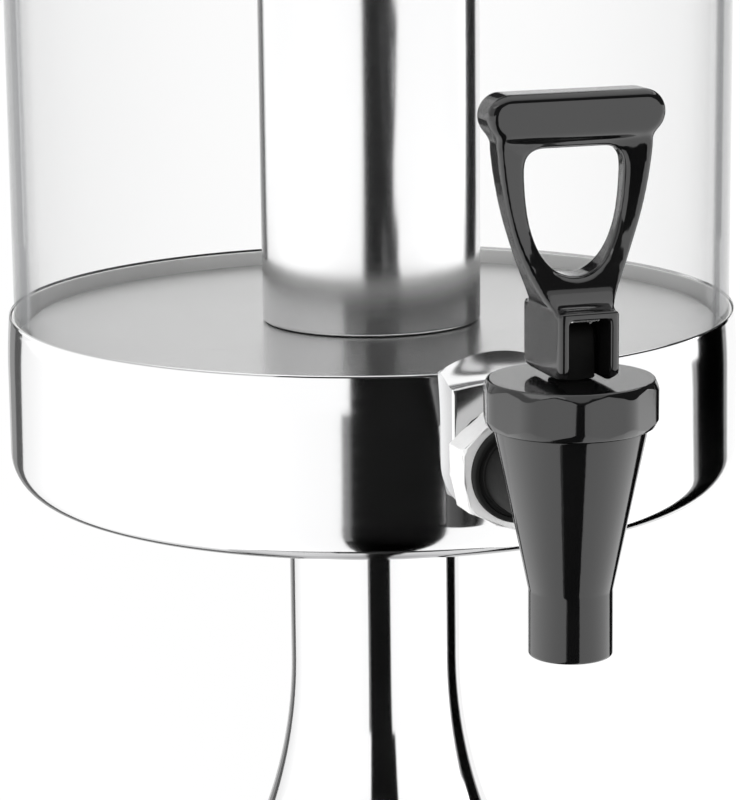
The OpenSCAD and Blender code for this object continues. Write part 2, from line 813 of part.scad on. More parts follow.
module finger_window() {
    half_w = arm_half_w - arm_t;
    top = handle_h - bar_h - window_rib;
    low_edge = curve([0, window_low], [half_w - arm_lean, window_low], [half_w, window_low + window_round_h]);
    top_edge = curve([half_w, top - window_corner_r], [half_w, top], [half_w - window_corner_r, top]);
    polygon(mirrored(concat(low_edge, top_edge)));
}

module handle_side() {
    half_d = handle_foot_d / 2;
    arm_half_d = arm_d / 2;
    lower_edge = curve([half_d - foot_round, 0], [half_d, 0], [half_d, foot_round]);
    waist = curve([half_d, handle_foot_h], [arm_half_d, handle_foot_h],
        [arm_half_d, handle_foot_h + waist_h]);
    polygon(mirrored(concat(lower_edge, waist, [[arm_half_d, arm_top]])));
    translate([0, arm_top]) square([bar_d, bar_h], center = true);
}

module tap_handle(side) {
    slot_w = eye_w + 2 * eye_gap;
    slot_top = pin_h + eye_d / 2 + eye_room;
    color(black_plastic) at_spout(side) translate([0, 0, handle_z]) difference() {
        intersection() {
            rotate([90, 0, 0]) linear_extrude(2 * handle_foot_d, center = true) difference() {
                handle_front();
                finger_window();
            }
            rotate([90, 0, 90]) linear_extrude(2 * bar_w, center = true) handle_side();
        }
        translate([-slot_w / 2, -handle_foot_d, -cut]) cube([slot_w, 2 * handle_foot_d, slot_top + cut]);
        translate([pin_x, 0, pin_h]) rotate([0, 90, 0])
            cylinder(r = pin_r + plug_clearance, h = 2 * handle_foot_w);
    }
}

module pivot_pin(side) {
    color(brushed) at_spout(side) translate([pin_x, 0, pin_z]) rotate([0, 90, 0])
        cylinder(r = pin_r, h = handle_foot_w - pin_wall);
}

// Container with its gasket

module container(side) {
    color("aliceblue", 0.35) at_column(side) translate([0, 0, container_z])
        ring(container_r, container_in_r, container_h);
}

module container_gasket(side) {
    color(silicone) at_column(side) translate([0, 0, groove_z]) rotate_extrude() {
        translate([container_in_r, 0]) square([container_wall + gasket_lip, gasket_t]);
        translate([container_r, 0]) square([gasket_lip, rim_z - rim_bead_r - groove_z]);
    }
}

// Lid, ice tube and cap

module lid(side) {
    color(polished) at_column(side) rotate_extrude() translate([0, lid_dome_z])
        dome_section(lid_dome_r, lid_wall, lid_hole_r, lid_r);
}

// Ring under the dome's edge: its shelf lies on the container and its skirt goes round the outside
module lid_rim(side) {
    color(polished) at_column(side) rotate_extrude() intersection() {
        union() {
            translate([lid_r - lid_wall, container_top - lid_skirt]) square([lid_wall, lid_skirt + lid_wall]);
            translate([container_in_r, container_top])
                square([lid_r - lid_wall / 2 - container_in_r, lid_wall]);
        }
        translate([0, lid_dome_z]) circle(lid_dome_r - lid_wall);
    }
}

module ice_tube(side) {
    tube_z = floor_z + tube_gap;
    color(polished) at_column(side) translate([0, 0, tube_z]) rotate_extrude()
        cup_section(tube_r, flange_top - tube_z, tube_corner_r, tube_wall);
}

module tube_flange(side) {
    color(polished) at_column(side) translate([0, 0, lid_hole_z]) ring(flange_r, tube_r, flange_t);
}

module ice_cap(side) {
    color(polished) at_column(side) rotate_extrude() {
        translate([0, cap_dome_z]) dome_section(cap_dome_r, cap_wall, knob_screw_r + plug_clearance, cap_r);
        translate([cap_r - cap_wall, cap_low]) square([cap_wall, flange_top + cap_wall - cap_low]);
        translate([tube_r, flange_top]) square([cap_r - cap_wall / 2 - tube_r, cap_wall]);
    }
}

module cap_knob(side) {
    color(polished) at_column(side) difference() {
        union() {
            translate([0, 0, cap_dome_z]) cylinder(r = knob_neck_r, h = knob_z - cap_dome_z);
            translate([0, 0, knob_z]) sphere(knob_r);
        }
        translate([0, 0, cap_dome_z])
            cylinder(r = knob_screw_r + plug_clearance, h = cap_dome_r + knob_screw_l);
        translate([0, 0, cap_dome_z]) sphere(cap_dome_r);
    }
}

module knob_screw(side) {
    color(brushed) at_column(side) translate([0, 0, knob_head_z]) {
        translate([0, 0, -knob_head_t]) cylinder(r = knob_head_r, h = knob_head_t);
        translate([0, 0, -knob_head_t]) cylinder(r = knob_screw_r, h = knob_head_t + knob_screw_l);
    }
}

// Drip tray with its grille

module drip_tray(side) {
    step_z = tray_h - ledge_drop - tray_wall;
    color(polished) at_spout(side) translate([0, 0, tray_z]) rotate_extrude() {
        square([tray_low_r, tray_wall]);
        translate([tray_low_r - tray_wall, 0]) square([tray_wall, step_z + tray_wall]);
        translate([tray_low_r - tray_wall, step_z]) square([ledge_w + tray_wall, tray_wall]);
        translate([tray_r - tray_wall, step_z]) square([tray_wall, ledge_drop + tray_wall]);
    }
}

module drip_grille(side) {
    grille_r = tray_r - tray_wall - seat_clearance;
    slot_reach = tray_low_r - tray_wall - grille_slot_w;
    slot_count = floor((slot_reach - grille_slot_w) / grille_pitch);
    color(brushed) at_spout(side) translate([0, 0, ledge_z]) difference() {
        cylinder(r = grille_r, h = grille_t);
        for (i = [-slot_count : slot_count]) {
            half_l = dome_height(slot_reach, i * grille_pitch);
            translate([i * grille_pitch, 0, 0]) {
                translate([-grille_slot_w / 2, -half_l, -cut])
                    cube([grille_slot_w, 2 * half_l, grille_t + 2 * cut]);
                for (y = [-1, 1]) translate([0, y * half_l, 0]) hole(grille_slot_w / 2, grille_t);
            }
        }
    }
}

base_shell();
base_plate();
feet();
foot_screws();
tie_rods();
rod_washers();
rod_nuts();
column(left);  // column_left
bowl(left);  // bowl_left
floor_pan(left);  // floor_pan_left
drain_elbow(left);  // drain_elbow_left
shank_gasket(left);  // shank_gasket_left
tap_boss(left);  // tap_boss_left
shank_hexagon(left);  // shank_hexagon_left
seal_washer(left);  // seal_washer_left
tap_body(left);  // tap_body_left
bonnet(left);  // bonnet_left
seat_cup(left);  // seat_cup_left
valve_spring(left);  // valve_spring_left
valve_stem(left);  // valve_stem_left
tap_handle(left);  // tap_handle_left
pivot_pin(left);  // pivot_pin_left
container(left);  // container_left
container_gasket(left);  // container_gasket_left
lid(left);  // lid_left
lid_rim(left);  // lid_rim_left
ice_tube(left);  // ice_tube_left
tube_flange(left);  // tube_flange_left
ice_cap(left);  // ice_cap_left
cap_knob(left);  // cap_knob_left
knob_screw(left);  // knob_screw_left
drip_tray(left);  // drip_tray_left
drip_grille(left);  // drip_grille_left
column(right);  // column_right
bowl(right);  // bowl_right
floor_pan(right);  // floor_pan_right
drain_elbow(right);  // drain_elbow_right
shank_gasket(right);  // shank_gasket_right
tap_boss(right);  // tap_boss_right
shank_hexagon(right);  // shank_hexagon_right
seal_washer(right);  // seal_washer_right
tap_body(right);  // tap_body_right
bonnet(right);  // bonnet_right
seat_cup(right);  // seat_cup_right
valve_spring(right);  // valve_spring_right
valve_stem(right);  // valve_stem_right
tap_handle(right);  // tap_handle_right
pivot_pin(right);  // pivot_pin_right
container(right);  // container_right
container_gasket(right);  // container_gasket_right
lid(right);  // lid_right
lid_rim(right);  // lid_rim_right
ice_tube(right);  // ice_tube_right
tube_flange(right);  // tube_flange_right
ice_cap(right);  // ice_cap_right
cap_knob(right);  // cap_knob_right
knob_screw(right);  // knob_screw_right
drip_tray(right);  // drip_tray_right
drip_grille(right);  // drip_grille_right
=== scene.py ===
# Double juice dispenser: two units with clear containers, ice tubes and lever taps on one steel base.
# Sizes are in millimetres in the part's own frame, and turn into metres when a piece is forged.
import json
import math

import bmesh
import bpy
import numpy as np
from mathutils import Matrix, Vector
from mathutils.geometry import tessellate_polygon

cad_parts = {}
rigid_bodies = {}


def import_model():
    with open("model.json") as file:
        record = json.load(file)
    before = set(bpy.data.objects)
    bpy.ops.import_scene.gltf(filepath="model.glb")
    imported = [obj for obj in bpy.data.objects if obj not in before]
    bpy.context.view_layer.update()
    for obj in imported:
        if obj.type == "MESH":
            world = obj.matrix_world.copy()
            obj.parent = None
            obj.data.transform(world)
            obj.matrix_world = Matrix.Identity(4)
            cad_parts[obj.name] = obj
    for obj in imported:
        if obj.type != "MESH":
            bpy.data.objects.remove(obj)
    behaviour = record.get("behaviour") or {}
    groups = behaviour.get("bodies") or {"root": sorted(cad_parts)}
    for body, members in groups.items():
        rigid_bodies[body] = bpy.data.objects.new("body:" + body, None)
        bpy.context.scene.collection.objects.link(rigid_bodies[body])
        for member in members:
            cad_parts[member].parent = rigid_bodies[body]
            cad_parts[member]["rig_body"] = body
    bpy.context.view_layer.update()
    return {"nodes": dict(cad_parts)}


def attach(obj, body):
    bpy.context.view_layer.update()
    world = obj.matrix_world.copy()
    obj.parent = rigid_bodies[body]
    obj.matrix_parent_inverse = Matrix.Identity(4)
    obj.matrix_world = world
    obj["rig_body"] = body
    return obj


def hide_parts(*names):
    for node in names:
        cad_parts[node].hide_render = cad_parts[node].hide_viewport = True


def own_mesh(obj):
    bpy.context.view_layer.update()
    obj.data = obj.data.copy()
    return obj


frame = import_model()

mm = 0.001
unitX = {"left": -125.0, "right": 125.0}
columnY, tapY, shankZ = 57.0, -92.0, 213.8
fineEdge, plainEdge, softEdge = 0.2, 0.3, 0.4  # roundings of edges


# Camera, at the place that was fitted to the photo

eye = {"lens": 144.6, "place": (-394.1, -771.3, 395.5), "turn": -17.95, "dip": 12.107, "roll": -0.636}
camera = bpy.data.objects.new("camera", bpy.data.cameras.new("camera"))
camera.data.lens = eye["lens"]
camera.data.clip_start, camera.data.clip_end = 0.05, 60
camera.matrix_world = (Matrix.Translation(Vector(eye["place"]) * mm)
                       @ Matrix.Rotation(math.radians(eye["turn"]), 4, "Z")
                       @ Matrix.Rotation(math.radians(90 - eye["dip"]), 4, "X")
                       @ Matrix.Rotation(math.radians(eye["roll"]), 4, "Z"))
bpy.context.scene.collection.objects.link(camera)
bpy.context.scene.camera = camera


# Node trees: one class wraps a socket, so that sums of values read as sums

class Flow:
    def __init__(self, tree, socket=None):
        self.tree, self.socket = tree, socket

    def add(self, kind, settings=None, values=None, out=0):
        node = self.tree.nodes.new(kind)
        for key, value in (settings or {}).items():
            setattr(node, key, value)
        for key, value in (values or {}).items():
            for one in value if isinstance(value, list) else [value]:
                if isinstance(one, Flow):
                    self.tree.links.new(one.socket, node.inputs[key])
                else:
                    node.inputs[key].default_value = one
        return Flow(self.tree, node.outputs[out] if len(node.outputs) else None)

    def sum(self, operation, a, b):
        return self.add("ShaderNodeMath", {"operation": operation}, {0: a, 1: b})

    def vector(self, **parts):
        return self.add("ShaderNodeCombineXYZ", None, parts)

    def __add__(self, other):
        return self.sum("ADD", self, other)

    def __sub__(self, other):
        return self.sum("SUBTRACT", self, other)

    def __rsub__(self, other):
        return self.sum("SUBTRACT", other, self)

    def __mul__(self, other):
        return self.sum("MULTIPLY", self, other)

    def __pow__(self, other):
        return self.sum("POWER", self, other)

    __radd__, __rmul__ = __add__, __mul__


def startFinish(name, **fixed):
    finish = bpy.data.materials.new(name)
    finish.use_nodes = True
    surface = finish.node_tree.nodes["Principled BSDF"]
    for key, value in fixed.items():
        surface.inputs[key.replace("_", " ")].default_value = value
    flow = Flow(finish.node_tree)
    return finish, flow, flow.add("ShaderNodeTexCoord", out="Object")


def feed(finish, **links):
    surface = finish.node_tree.nodes["Principled BSDF"]
    for key, flow in links.items():
        finish.node_tree.links.new(flow.socket, surface.inputs[key.replace("_", " ")])
    return finish


def clouds(flow, spots, scale, detail=3.0, stretch=None):
    if stretch:
        spots = flow.add("ShaderNodeMapping", None, {"Vector": spots, "Scale": stretch})
    return flow.add("ShaderNodeTexNoise", None, {"Vector": spots, "Scale": scale, "Detail": detail})


def between(flow, share, a, b):
    return flow.add("ShaderNodeMix", {"data_type": "RGBA"}, {0: share, 6: (*a, 1), 7: (*b, 1)}, out=2)


def relief(flow, height, strength, depth):
    return flow.add("ShaderNodeBump", None, {"Strength": strength, "Distance": depth, "Height": height})


mirrorLook = {"bright": (0.70, 0.70, 0.70), "dull": (0.64, 0.64, 0.645), "smear": 0.07, "smearScale": 11.0,
              "hairScale": 60.0, "hairRun": (1, 1, 14), "wave": 0.09, "waveScale": 26.0, "waveDepth": 0.0004}


def mirrorSteel(name, rough, share=1.0, under=None):
    finish, flow, spots = startFinish(name, Metallic=1.0)
    smear = clouds(flow, spots, mirrorLook["smearScale"])
    hairs = clouds(flow, spots, mirrorLook["hairScale"], 5.0, mirrorLook["hairRun"])
    waves = clouds(flow, spots, mirrorLook["waveScale"], 1.0)
    colour = between(flow, smear, *[tuple(share * v for v in mirrorLook[key]) for key in ("bright", "dull")])
    if under:  # painted shade: the colour darkens towards the underside, for the dark reflection of the shaded base below
        z = flow.add("ShaderNodeSeparateXYZ", None, {"Vector": spots}, out="Z")
        fade = flow.add("ShaderNodeMapRange", None, {"Value": z, "From Min": under["from"],
                                                     "From Max": under["to"]})
        mix = {0: fade, 6: colour, 7: (*under["shade"], 1)}
        colour = flow.add("ShaderNodeMix", {"data_type": "RGBA"}, mix, out=2)
    return feed(finish, Base_Color=colour,
                Roughness=rough + mirrorLook["smear"] * smear * hairs,
                Normal=relief(flow, waves, mirrorLook["wave"], mirrorLook["waveDepth"]))


brushLook = {"dull": 0.84, "grain": 0.14, "grainShare": 0.7, "patch": 0.04, "patchShare": 0.3,
             "patchScale": 16.0, "relief": 0.5}


# along holds how fast the grain changes on each axis
def brushedSteel(name, along, shade=0.64, depth=0.00003, rough=0.14, metal=1.0):
    finish, flow, spots = startFinish(name, Metallic=metal)
    grain = clouds(flow, spots, 1.0, 6.0, along)
    patches = clouds(flow, spots, brushLook["patchScale"], 2.0)
    bright, dull = (shade, shade, shade * 0.995), (shade * brushLook["dull"],) * 3
    worn = grain * brushLook["grainShare"] + patches * brushLook["patchShare"]
    return feed(finish, Base_Color=between(flow, worn, bright, dull),
                Roughness=rough + brushLook["grain"] * grain + brushLook["patch"] * patches,
                Normal=relief(flow, grain, brushLook["relief"], depth))


gloss = {"black": (0.002, 0.002, 0.0022), "worn": (0.005, 0.005, 0.005), "rough": 0.05, "haze": 0.06,
         "hazeScale": 55.0, "peel": 0.06, "peelScale": 420.0, "peelDepth": 0.0002, "index": 1.6,
         "shine": 0.52}


def glossBlack():
    finish, flow, spots = startFinish("glossBlack", IOR=gloss["index"], Specular_IOR_Level=gloss["shine"])
    haze = clouds(flow, spots, gloss["hazeScale"], 4.0)
    peel = clouds(flow, spots, gloss["peelScale"], 2.0)
    return feed(finish, Base_Color=between(flow, haze, gloss["black"], gloss["worn"]),
                Roughness=gloss["rough"] + gloss["haze"] * haze,
                Normal=relief(flow, peel, gloss["peel"], gloss["peelDepth"]))


rubberLook = {"dark": (0.005, 0.005, 0.005), "bloom": (0.012, 0.012, 0.0115), "rough": 0.55, "haze": 0.25,
              "bloomScale": 70.0, "speckle": 0.35, "speckleScale": 900.0, "depth": 0.0002, "index": 1.5,
              "shine": 0.15}


def mattRubber():
    finish, flow, spots = startFinish("mattRubber", IOR=rubberLook["index"],
                                      Specular_IOR_Level=rubberLook["shine"])
    speckle = clouds(flow, spots, rubberLook["speckleScale"])
    bloom = clouds(flow, spots, rubberLook["bloomScale"])
    return feed(finish, Base_Color=between(flow, bloom, rubberLook["dark"], rubberLook["bloom"]),
                Roughness=rubberLook["rough"] + rubberLook["haze"] * bloom,
                Normal=relief(flow, speckle, rubberLook["speckle"], rubberLook["depth"]))


siliconeLook = {"pale": (0.92, 0.92, 0.91), "bloom": (0.97, 0.97, 0.96), "rough": 0.35, "haze": 0.2,
                "bloomScale": 60.0, "speckle": 0.15, "speckleScale": 700.0, "depth": 0.0002, "index": 1.42}


def paleSilicone():
    finish, flow, spots = startFinish("paleSilicone", IOR=siliconeLook["index"])
    bloom = clouds(flow, spots, siliconeLook["bloomScale"])
    speckle = clouds(flow, spots, siliconeLook["speckleScale"], 2.0)
    return feed(finish, Base_Color=between(flow, bloom, siliconeLook["pale"], siliconeLook["bloom"]),
                Roughness=siliconeLook["rough"] + siliconeLook["haze"] * bloom,
                Normal=relief(flow, speckle, siliconeLook["speckle"], siliconeLook["depth"]))


clear = {"tint": (0.20, 0.205, 0.21), "wiped": (0.26, 0.265, 0.27), "film": 0.006, "slant": 0.1,
         "slantBend": 1.2, "wall": 0.38, "wallFrom": 0.69, "wallFull": 0.75, "wallPeak": 5.0,
         "wallFall": 4.6, "edge": 0.8, "bend": 8.0, "middleR": 0.0961, "rough": 0.03, "wipe": 0.05,
         "wipeScale": 14.0, "wipeRun": (1, 1, 0.25), "index": 1.49, "shine": 0.25}


# the outer face greys where the eye looks along the wall, the inner face where it turns away
def clearWall():
    finish, flow, spots = startFinish("clearWall", IOR=clear["index"], Specular_IOR_Level=clear["shine"])
    turned = flow.add("ShaderNodeLayerWeight", None, {"Blend": 0.5}, out="Facing")
    wipes = clouds(flow, spots, clear["wipeScale"], 4.0, clear["wipeRun"])
    split = flow.add("ShaderNodeSeparateXYZ", None, {"Vector": spots})
    x, y = (Flow(flow.tree, split.socket.node.outputs[key]) for key in "XY")
    x, y = x.sum("ABSOLUTE", x, 0.0) - unitX["right"] * mm, y - columnY * mm
    outside = (x * x + y * y).sum("GREATER_THAN", x * x + y * y, clear["middleR"] ** 2)
    limits = {"Value": turned, "From Min": clear["wallFrom"], "From Max": clear["wallFull"],
              "To Max": clear["wall"]}
    zone = flow.add("ShaderNodeMapRange", {"interpolation_type": "SMOOTHSTEP"}, limits)
    zone = zone * (clear["wallPeak"] - clear["wallFall"] * turned)
    line = clear["edge"] * turned ** clear["bend"]
    film = clear["film"] + clear["slant"] * turned ** clear["slantBend"]
    return feed(finish, Base_Color=between(flow, wipes, clear["tint"], clear["wiped"]),
                Roughness=clear["rough"] + clear["wipe"] * wipes,
                Alpha=film + outside * zone + (1.0 - outside) * line)


steel = mirrorSteel("mirrorSteel", 0.06)
tubeSteel = mirrorSteel("tubeSteel", 0.13)
bossSteel = mirrorSteel("bossSteel", 0.15)
lidSteel = mirrorSteel("lidSteel", 0.08, share=0.68)
# painted shade: the bowl's bottom corner is darkened below these heights, standing in for the shaded base and
# floor it mirrors
bowlShadedUnderside = {"from": 0.1902, "to": 0.1888, "shade": (0.24, 0.24, 0.245)}
bowlSteel = mirrorSteel("bowlSteel", 0.06, under=bowlShadedUnderside)
black, rubber, silicone, clearPlastic = glossBlack(), mattRubber(), paleSilicone(), clearWall()
panSteel = brushedSteel("panSteel", (12, 2400, 2400), shade=0.60, depth=0.00010)
baseSteel = brushedSteel("baseSteel", (9, 1100, 1100), shade=0.44)
turnedSteel = brushedSteel("turnedSteel", (260, 260, 2600))
satinSteel = brushedSteel("satinSteel", (900, 900, 900), shade=0.93, depth=0.00001, rough=0.3, metal=0.25)
print("finishes:", len(bpy.data.materials))


# Shapes, as points and faces in millimetres

# rounds the corners that carry a radius, and keeps long straights flat
def softProfile(corners, steps=6, hold=0.25):
    points = []
    for i, corner in enumerate(corners):
        here, radius = Vector(corner[:2]), corner[2] if len(corner) > 2 else 0
        if not radius:
            points.append(here)
            continue
        back = Vector(corners[i - 1][:2]) - here
        onward = Vector(corners[(i + 1) % len(corners)][:2]) - here
        a, b = back.normalized(), onward.normalized()
        angle = a.angle(b)
        reach = min(radius / math.tan(angle / 2), 0.49 * back.length, 0.49 * onward.length)
        radius = reach * math.tan(angle / 2)
        centre = here + (a + b).normalized() * radius / math.sin(angle / 2)
        first, last, sweep = here + a * reach - centre, here + b * reach - centre, math.pi - angle
        if hold and back.length - reach > 1:
            points.append(here + a * (reach + hold))
        for k in range(steps + 1):
            t = k / steps
            points.append(centre + (first * math.sin((1 - t) * sweep) + last * math.sin(t * sweep))
                          / math.sin(sweep))
        if hold and onward.length - reach > 1:
            points.append(here + b * (reach + hold))
    return [(p[0], p[1]) for p in points]


def arc(r, z, radius, start, end, steps=24):
    turns = [math.radians(start + (end - start) * k / steps) for k in range(steps + 1)]
    return [(r + radius * math.cos(t), z + radius * math.sin(t)) for t in turns]


def domeArc(centreZ, radius, r0, r1, steps=28):
    return [(r, centreZ + math.sqrt(radius * radius - r * r)) for r in np.linspace(r0, r1, steps + 1)]


# quads between rings of points; a closed stack joins its last ring to its first
def stitch(rings, closed=True):
    rings = np.asarray(rings, float)
    count, size = rings.shape[:2]
    faces = []
    for i in range(count if closed else count - 1):
        here, ahead = i * size, (i + 1) % count * size
        faces += [(here + j, here + (j + 1) % size, ahead + (j + 1) % size, ahead + j) for j in range(size)]
    return rings.reshape(-1, 3), faces


def lathe(profile, turns=176):
    angles = np.arange(turns) * 2 * math.pi / turns
    return stitch([np.stack([r * np.cos(angles), r * np.sin(angles), np.full(turns, z)], 1)
                   for r, z in profile])


def nutOutline(size, steps=5):  # a polygon with rounded corners
    sides, rounding = size["sides"], size["round"]
    apothem = size["cornerR"] * math.cos(math.pi / sides)
    points = []
    for k in range(sides):
        mid = math.radians(size["turn"]) + 2 * math.pi * k / sides
        inner = (apothem - rounding) / math.cos(math.pi / sides)
        for i in range(steps + 1):
            turn = mid + (i / steps - 0.5) * 2 * math.pi / sides
            points.append((inner * math.cos(mid) + rounding * math.cos(turn),
                           inner * math.sin(mid) + rounding * math.sin(turn)))
        turn = mid + math.pi / sides
        for off in (-0.45, 0.0, 0.45):  # keeps each flat plane up to its corners
            side = off * 2 * (apothem - rounding) * math.tan(math.pi / sides)
            points.append((apothem * math.cos(turn) - side * math.sin(turn),
                           apothem * math.sin(turn) + side * math.cos(turn)))
    return points


def nut(outline, size, bore, soft=0.45):  # cones take its corners off; bore is the inner profile
    low, high, startR, slope = (size[key] for key in ("low", "high", "startR", "slope"))
    columns = []
    for x, y in outline:
        r, turn = math.hypot(x, y), math.atan2(y, x)
        drop = (r - startR) * slope
        corners = [(startR - 1, low), (startR, low, soft), (r, low + drop, soft),
                   (r, high - drop, soft), (startR, high, soft), (startR - 1, high)]
        side = softProfile(corners + bore, steps=4, hold=0)
        columns.append([(s * math.cos(turn), s * math.sin(turn), z) for s, z in side])
    return stitch(np.swapaxes(np.array(columns), 0, 1))


def forge(name, shapes, finish, place=Matrix(), crease=32):
    whole = bmesh.new()
    for points, faces in shapes:
        part = bpy.data.meshes.new("part")
        part.from_pydata((np.asarray(points) * mm).tolist(), [], [[int(v) for v in face] for face in faces])
        shell = bmesh.new()
        shell.from_mesh(part)
        bmesh.ops.remove_doubles(shell, verts=shell.verts, dist=1e-6)
        bmesh.ops.recalc_face_normals(shell, faces=shell.faces)
        shell.to_mesh(part)
        shell.free()
        whole.from_mesh(part)
        bpy.data.meshes.remove(part)
    mesh = bpy.data.meshes.new(name)
    whole.to_mesh(mesh)
    whole.free()
    mesh.transform(place)
    return settle(bpy.data.objects.new(name, mesh), finish, crease)


def settle(thing, finish, crease=32):
    thing.data.materials.clear()
    thing.data.materials.append(finish)
    thing.data.shade_smooth()
    thing.data.set_sharp_from_angle(angle=math.radians(crease))
    if thing.name not in bpy.context.scene.collection.objects:
        bpy.context.scene.collection.objects.link(thing)
    return thing


def dress(thing, slot, *nodes):
    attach(thing, frame["nodes"][nodes[0]]["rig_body"])
    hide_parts(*nodes)
    return thing


def fit(side, name, node, slot, finish, shapes, place, crease=32):  # one unit's own copy of a piece
    return dress(forge(name + "_" + side, shapes, finish, place, crease), slot, node + "_" + side)


def atColumn(side):
    return Matrix.Translation((unitX[side] * mm, columnY * mm, 0))


def atTap(side, z=0.0):
    return Matrix.Translation((unitX[side] * mm, tapY * mm, z * mm))


def alongShank(side):  # z runs out from the column's axis along the tap's shank, and y runs up
    start = Matrix.Translation((unitX[side] * mm, columnY * mm, shankZ * mm))
    return start @ Matrix.Rotation(math.pi / 2, 4, "X")


# Geometry Nodes: a tree with named inputs grows a plain mesh

def startTree(name, sizes):
    tree = bpy.data.node_groups.new(name, "GeometryNodeTree")
    tree.interface.new_socket("Geometry", in_out="INPUT", socket_type="NodeSocketGeometry")
    kinds = {int: "NodeSocketInt", float: "NodeSocketFloat", bpy.types.Object: "NodeSocketObject",
             bpy.types.Material: "NodeSocketMaterial"}
    for key, value in sizes.items():
        tree.interface.new_socket(key, in_out="INPUT", socket_type=kinds[type(value)])
    tree.interface.new_socket("Geometry", in_out="OUTPUT", socket_type="NodeSocketGeometry")
    start = tree.nodes.new("NodeGroupInput")
    return Flow(tree), {key: Flow(tree, start.outputs[key]) for key in sizes}


def grow(name, flow, mesh, sizes, finish):
    solid = flow.add("GeometryNodeRealizeInstances", None, {"Geometry": mesh})
    solid = flow.add("GeometryNodeSetMaterial", None, {"Geometry": solid, "Material": finish})
    flow.add("NodeGroupOutput", None, {"Geometry": solid})
    thing = bpy.data.objects.new(name, bpy.data.meshes.new(name))
    bpy.context.scene.collection.objects.link(thing)
    tool = thing.modifiers.new("grow", "NODES")
    tool.node_group = flow.tree
    for item in flow.tree.interface.items_tree:
        if item.in_out == "INPUT" and item.name in sizes:
            tool[item.identifier] = sizes[item.name]
    graph = bpy.context.evaluated_depsgraph_get()
    made = bpy.data.meshes.new_from_object(thing.evaluated_get(graph), depsgraph=graph)
    thing.modifiers.remove(tool)
    thing.data = made
    return thing


# Base: a pressed shell with a round recess under each drip tray

base = {"width": 490.0, "depth": 320.0, "low": 4.0, "high": 24.0, "corner": 45.0, "edge": 6.0, "wall": 1.2,
        "recessR": 50.3, "recessDepth": 1.5}


def slabOutline(width, depth, corner, z, steps=14):
    points = []
    for k, (sx, sy) in enumerate(((1, 1), (-1, 1), (-1, -1), (1, -1))):
        for i in range(steps + 1):
            turn = math.pi / 2 * (k + i / steps)
            points.append((sx * (width / 2 - corner) + corner * math.cos(turn),
                           sy * (depth / 2 - corner) + corner * math.sin(turn), z))
    return points


def slabSkin(inset, high, recessR, recessZ, steps=8):
    w, d = base["width"] - 2 * inset, base["depth"] - 2 * inset
    corner, edge = base["corner"] - inset, base["edge"] - inset
    rings = [slabOutline(w, d, corner, base["low"]), slabOutline(w, d, corner, base["low"] + 0.3),
             slabOutline(w, d, corner, high - edge - 0.3)]
    for k in range(steps + 1):
        turn = math.pi / 2 * k / steps
        cut = edge * (1 - math.cos(turn))
        rings.append(slabOutline(w - 2 * cut, d - 2 * cut, corner - cut, high - edge + edge * math.sin(turn)))
    cut = edge + 0.3
    rings.append(slabOutline(w - 2 * cut, d - 2 * cut, corner - cut, high))
    points, faces = stitch(rings, False)
    points = points.tolist()
    top = list(range(len(points) - len(rings[0]), len(points)))
    loops, turns = [[Vector(points[v]) for v in top]], np.arange(96) * 2 * math.pi / 96
    order = list(top)
    for x in unitX.values():
        profile = [(recessR, high), (recessR, recessZ + 0.8), (recessR - 0.25, recessZ + 0.2),
                   (recessR - 0.8, recessZ), (0.0, recessZ)]
        rounds = [[(x + r * math.cos(t), tapY + r * math.sin(t), z) for t in turns] for r, z in profile]
        cup, walls = stitch(rounds, False)
        start = len(points)
        points += cup.tolist()
        faces += [tuple(start + v for v in wall) for wall in walls]
        loops.append([Vector(p) for p in cup[:len(turns)]])
        order += range(start, start + len(turns))
    faces += [tuple(order[v] for v in face) for face in tessellate_polygon(loops)]
    return points, faces


def makeBase():
    outer, outerFaces = slabSkin(0.0, base["high"], base["recessR"], base["high"] - base["recessDepth"])
    inner, innerFaces = slabSkin(base["wall"], base["high"] - base["wall"], base["recessR"] + base["wall"],
                                 base["high"] - base["recessDepth"] - base["wall"])
    size, shift = len(slabOutline(base["width"], base["depth"], base["corner"], 0)), len(outer)
    rim = [(j, (j + 1) % size, shift + (j + 1) % size, shift + j) for j in range(size)]
    faces = outerFaces + [tuple(shift + v for v in face) for face in innerFaces] + rim
    dress(forge("baseShell", [(outer + inner, faces)], baseSteel), "brushed_steel", "base_shell")


makeBase()

foot = {"radius": 11.0, "height": 4.0, "boreR": 2.05, "sinkR": 4.1, "sinkZ": 2.1, "spanX": 410.0,
        "spanY": 240.0}
footScrew = {"headR": 3.8, "low": 0.3, "high": 2.1, "shaftR": 2.0, "end": 14.1, "socketR": 1.5}


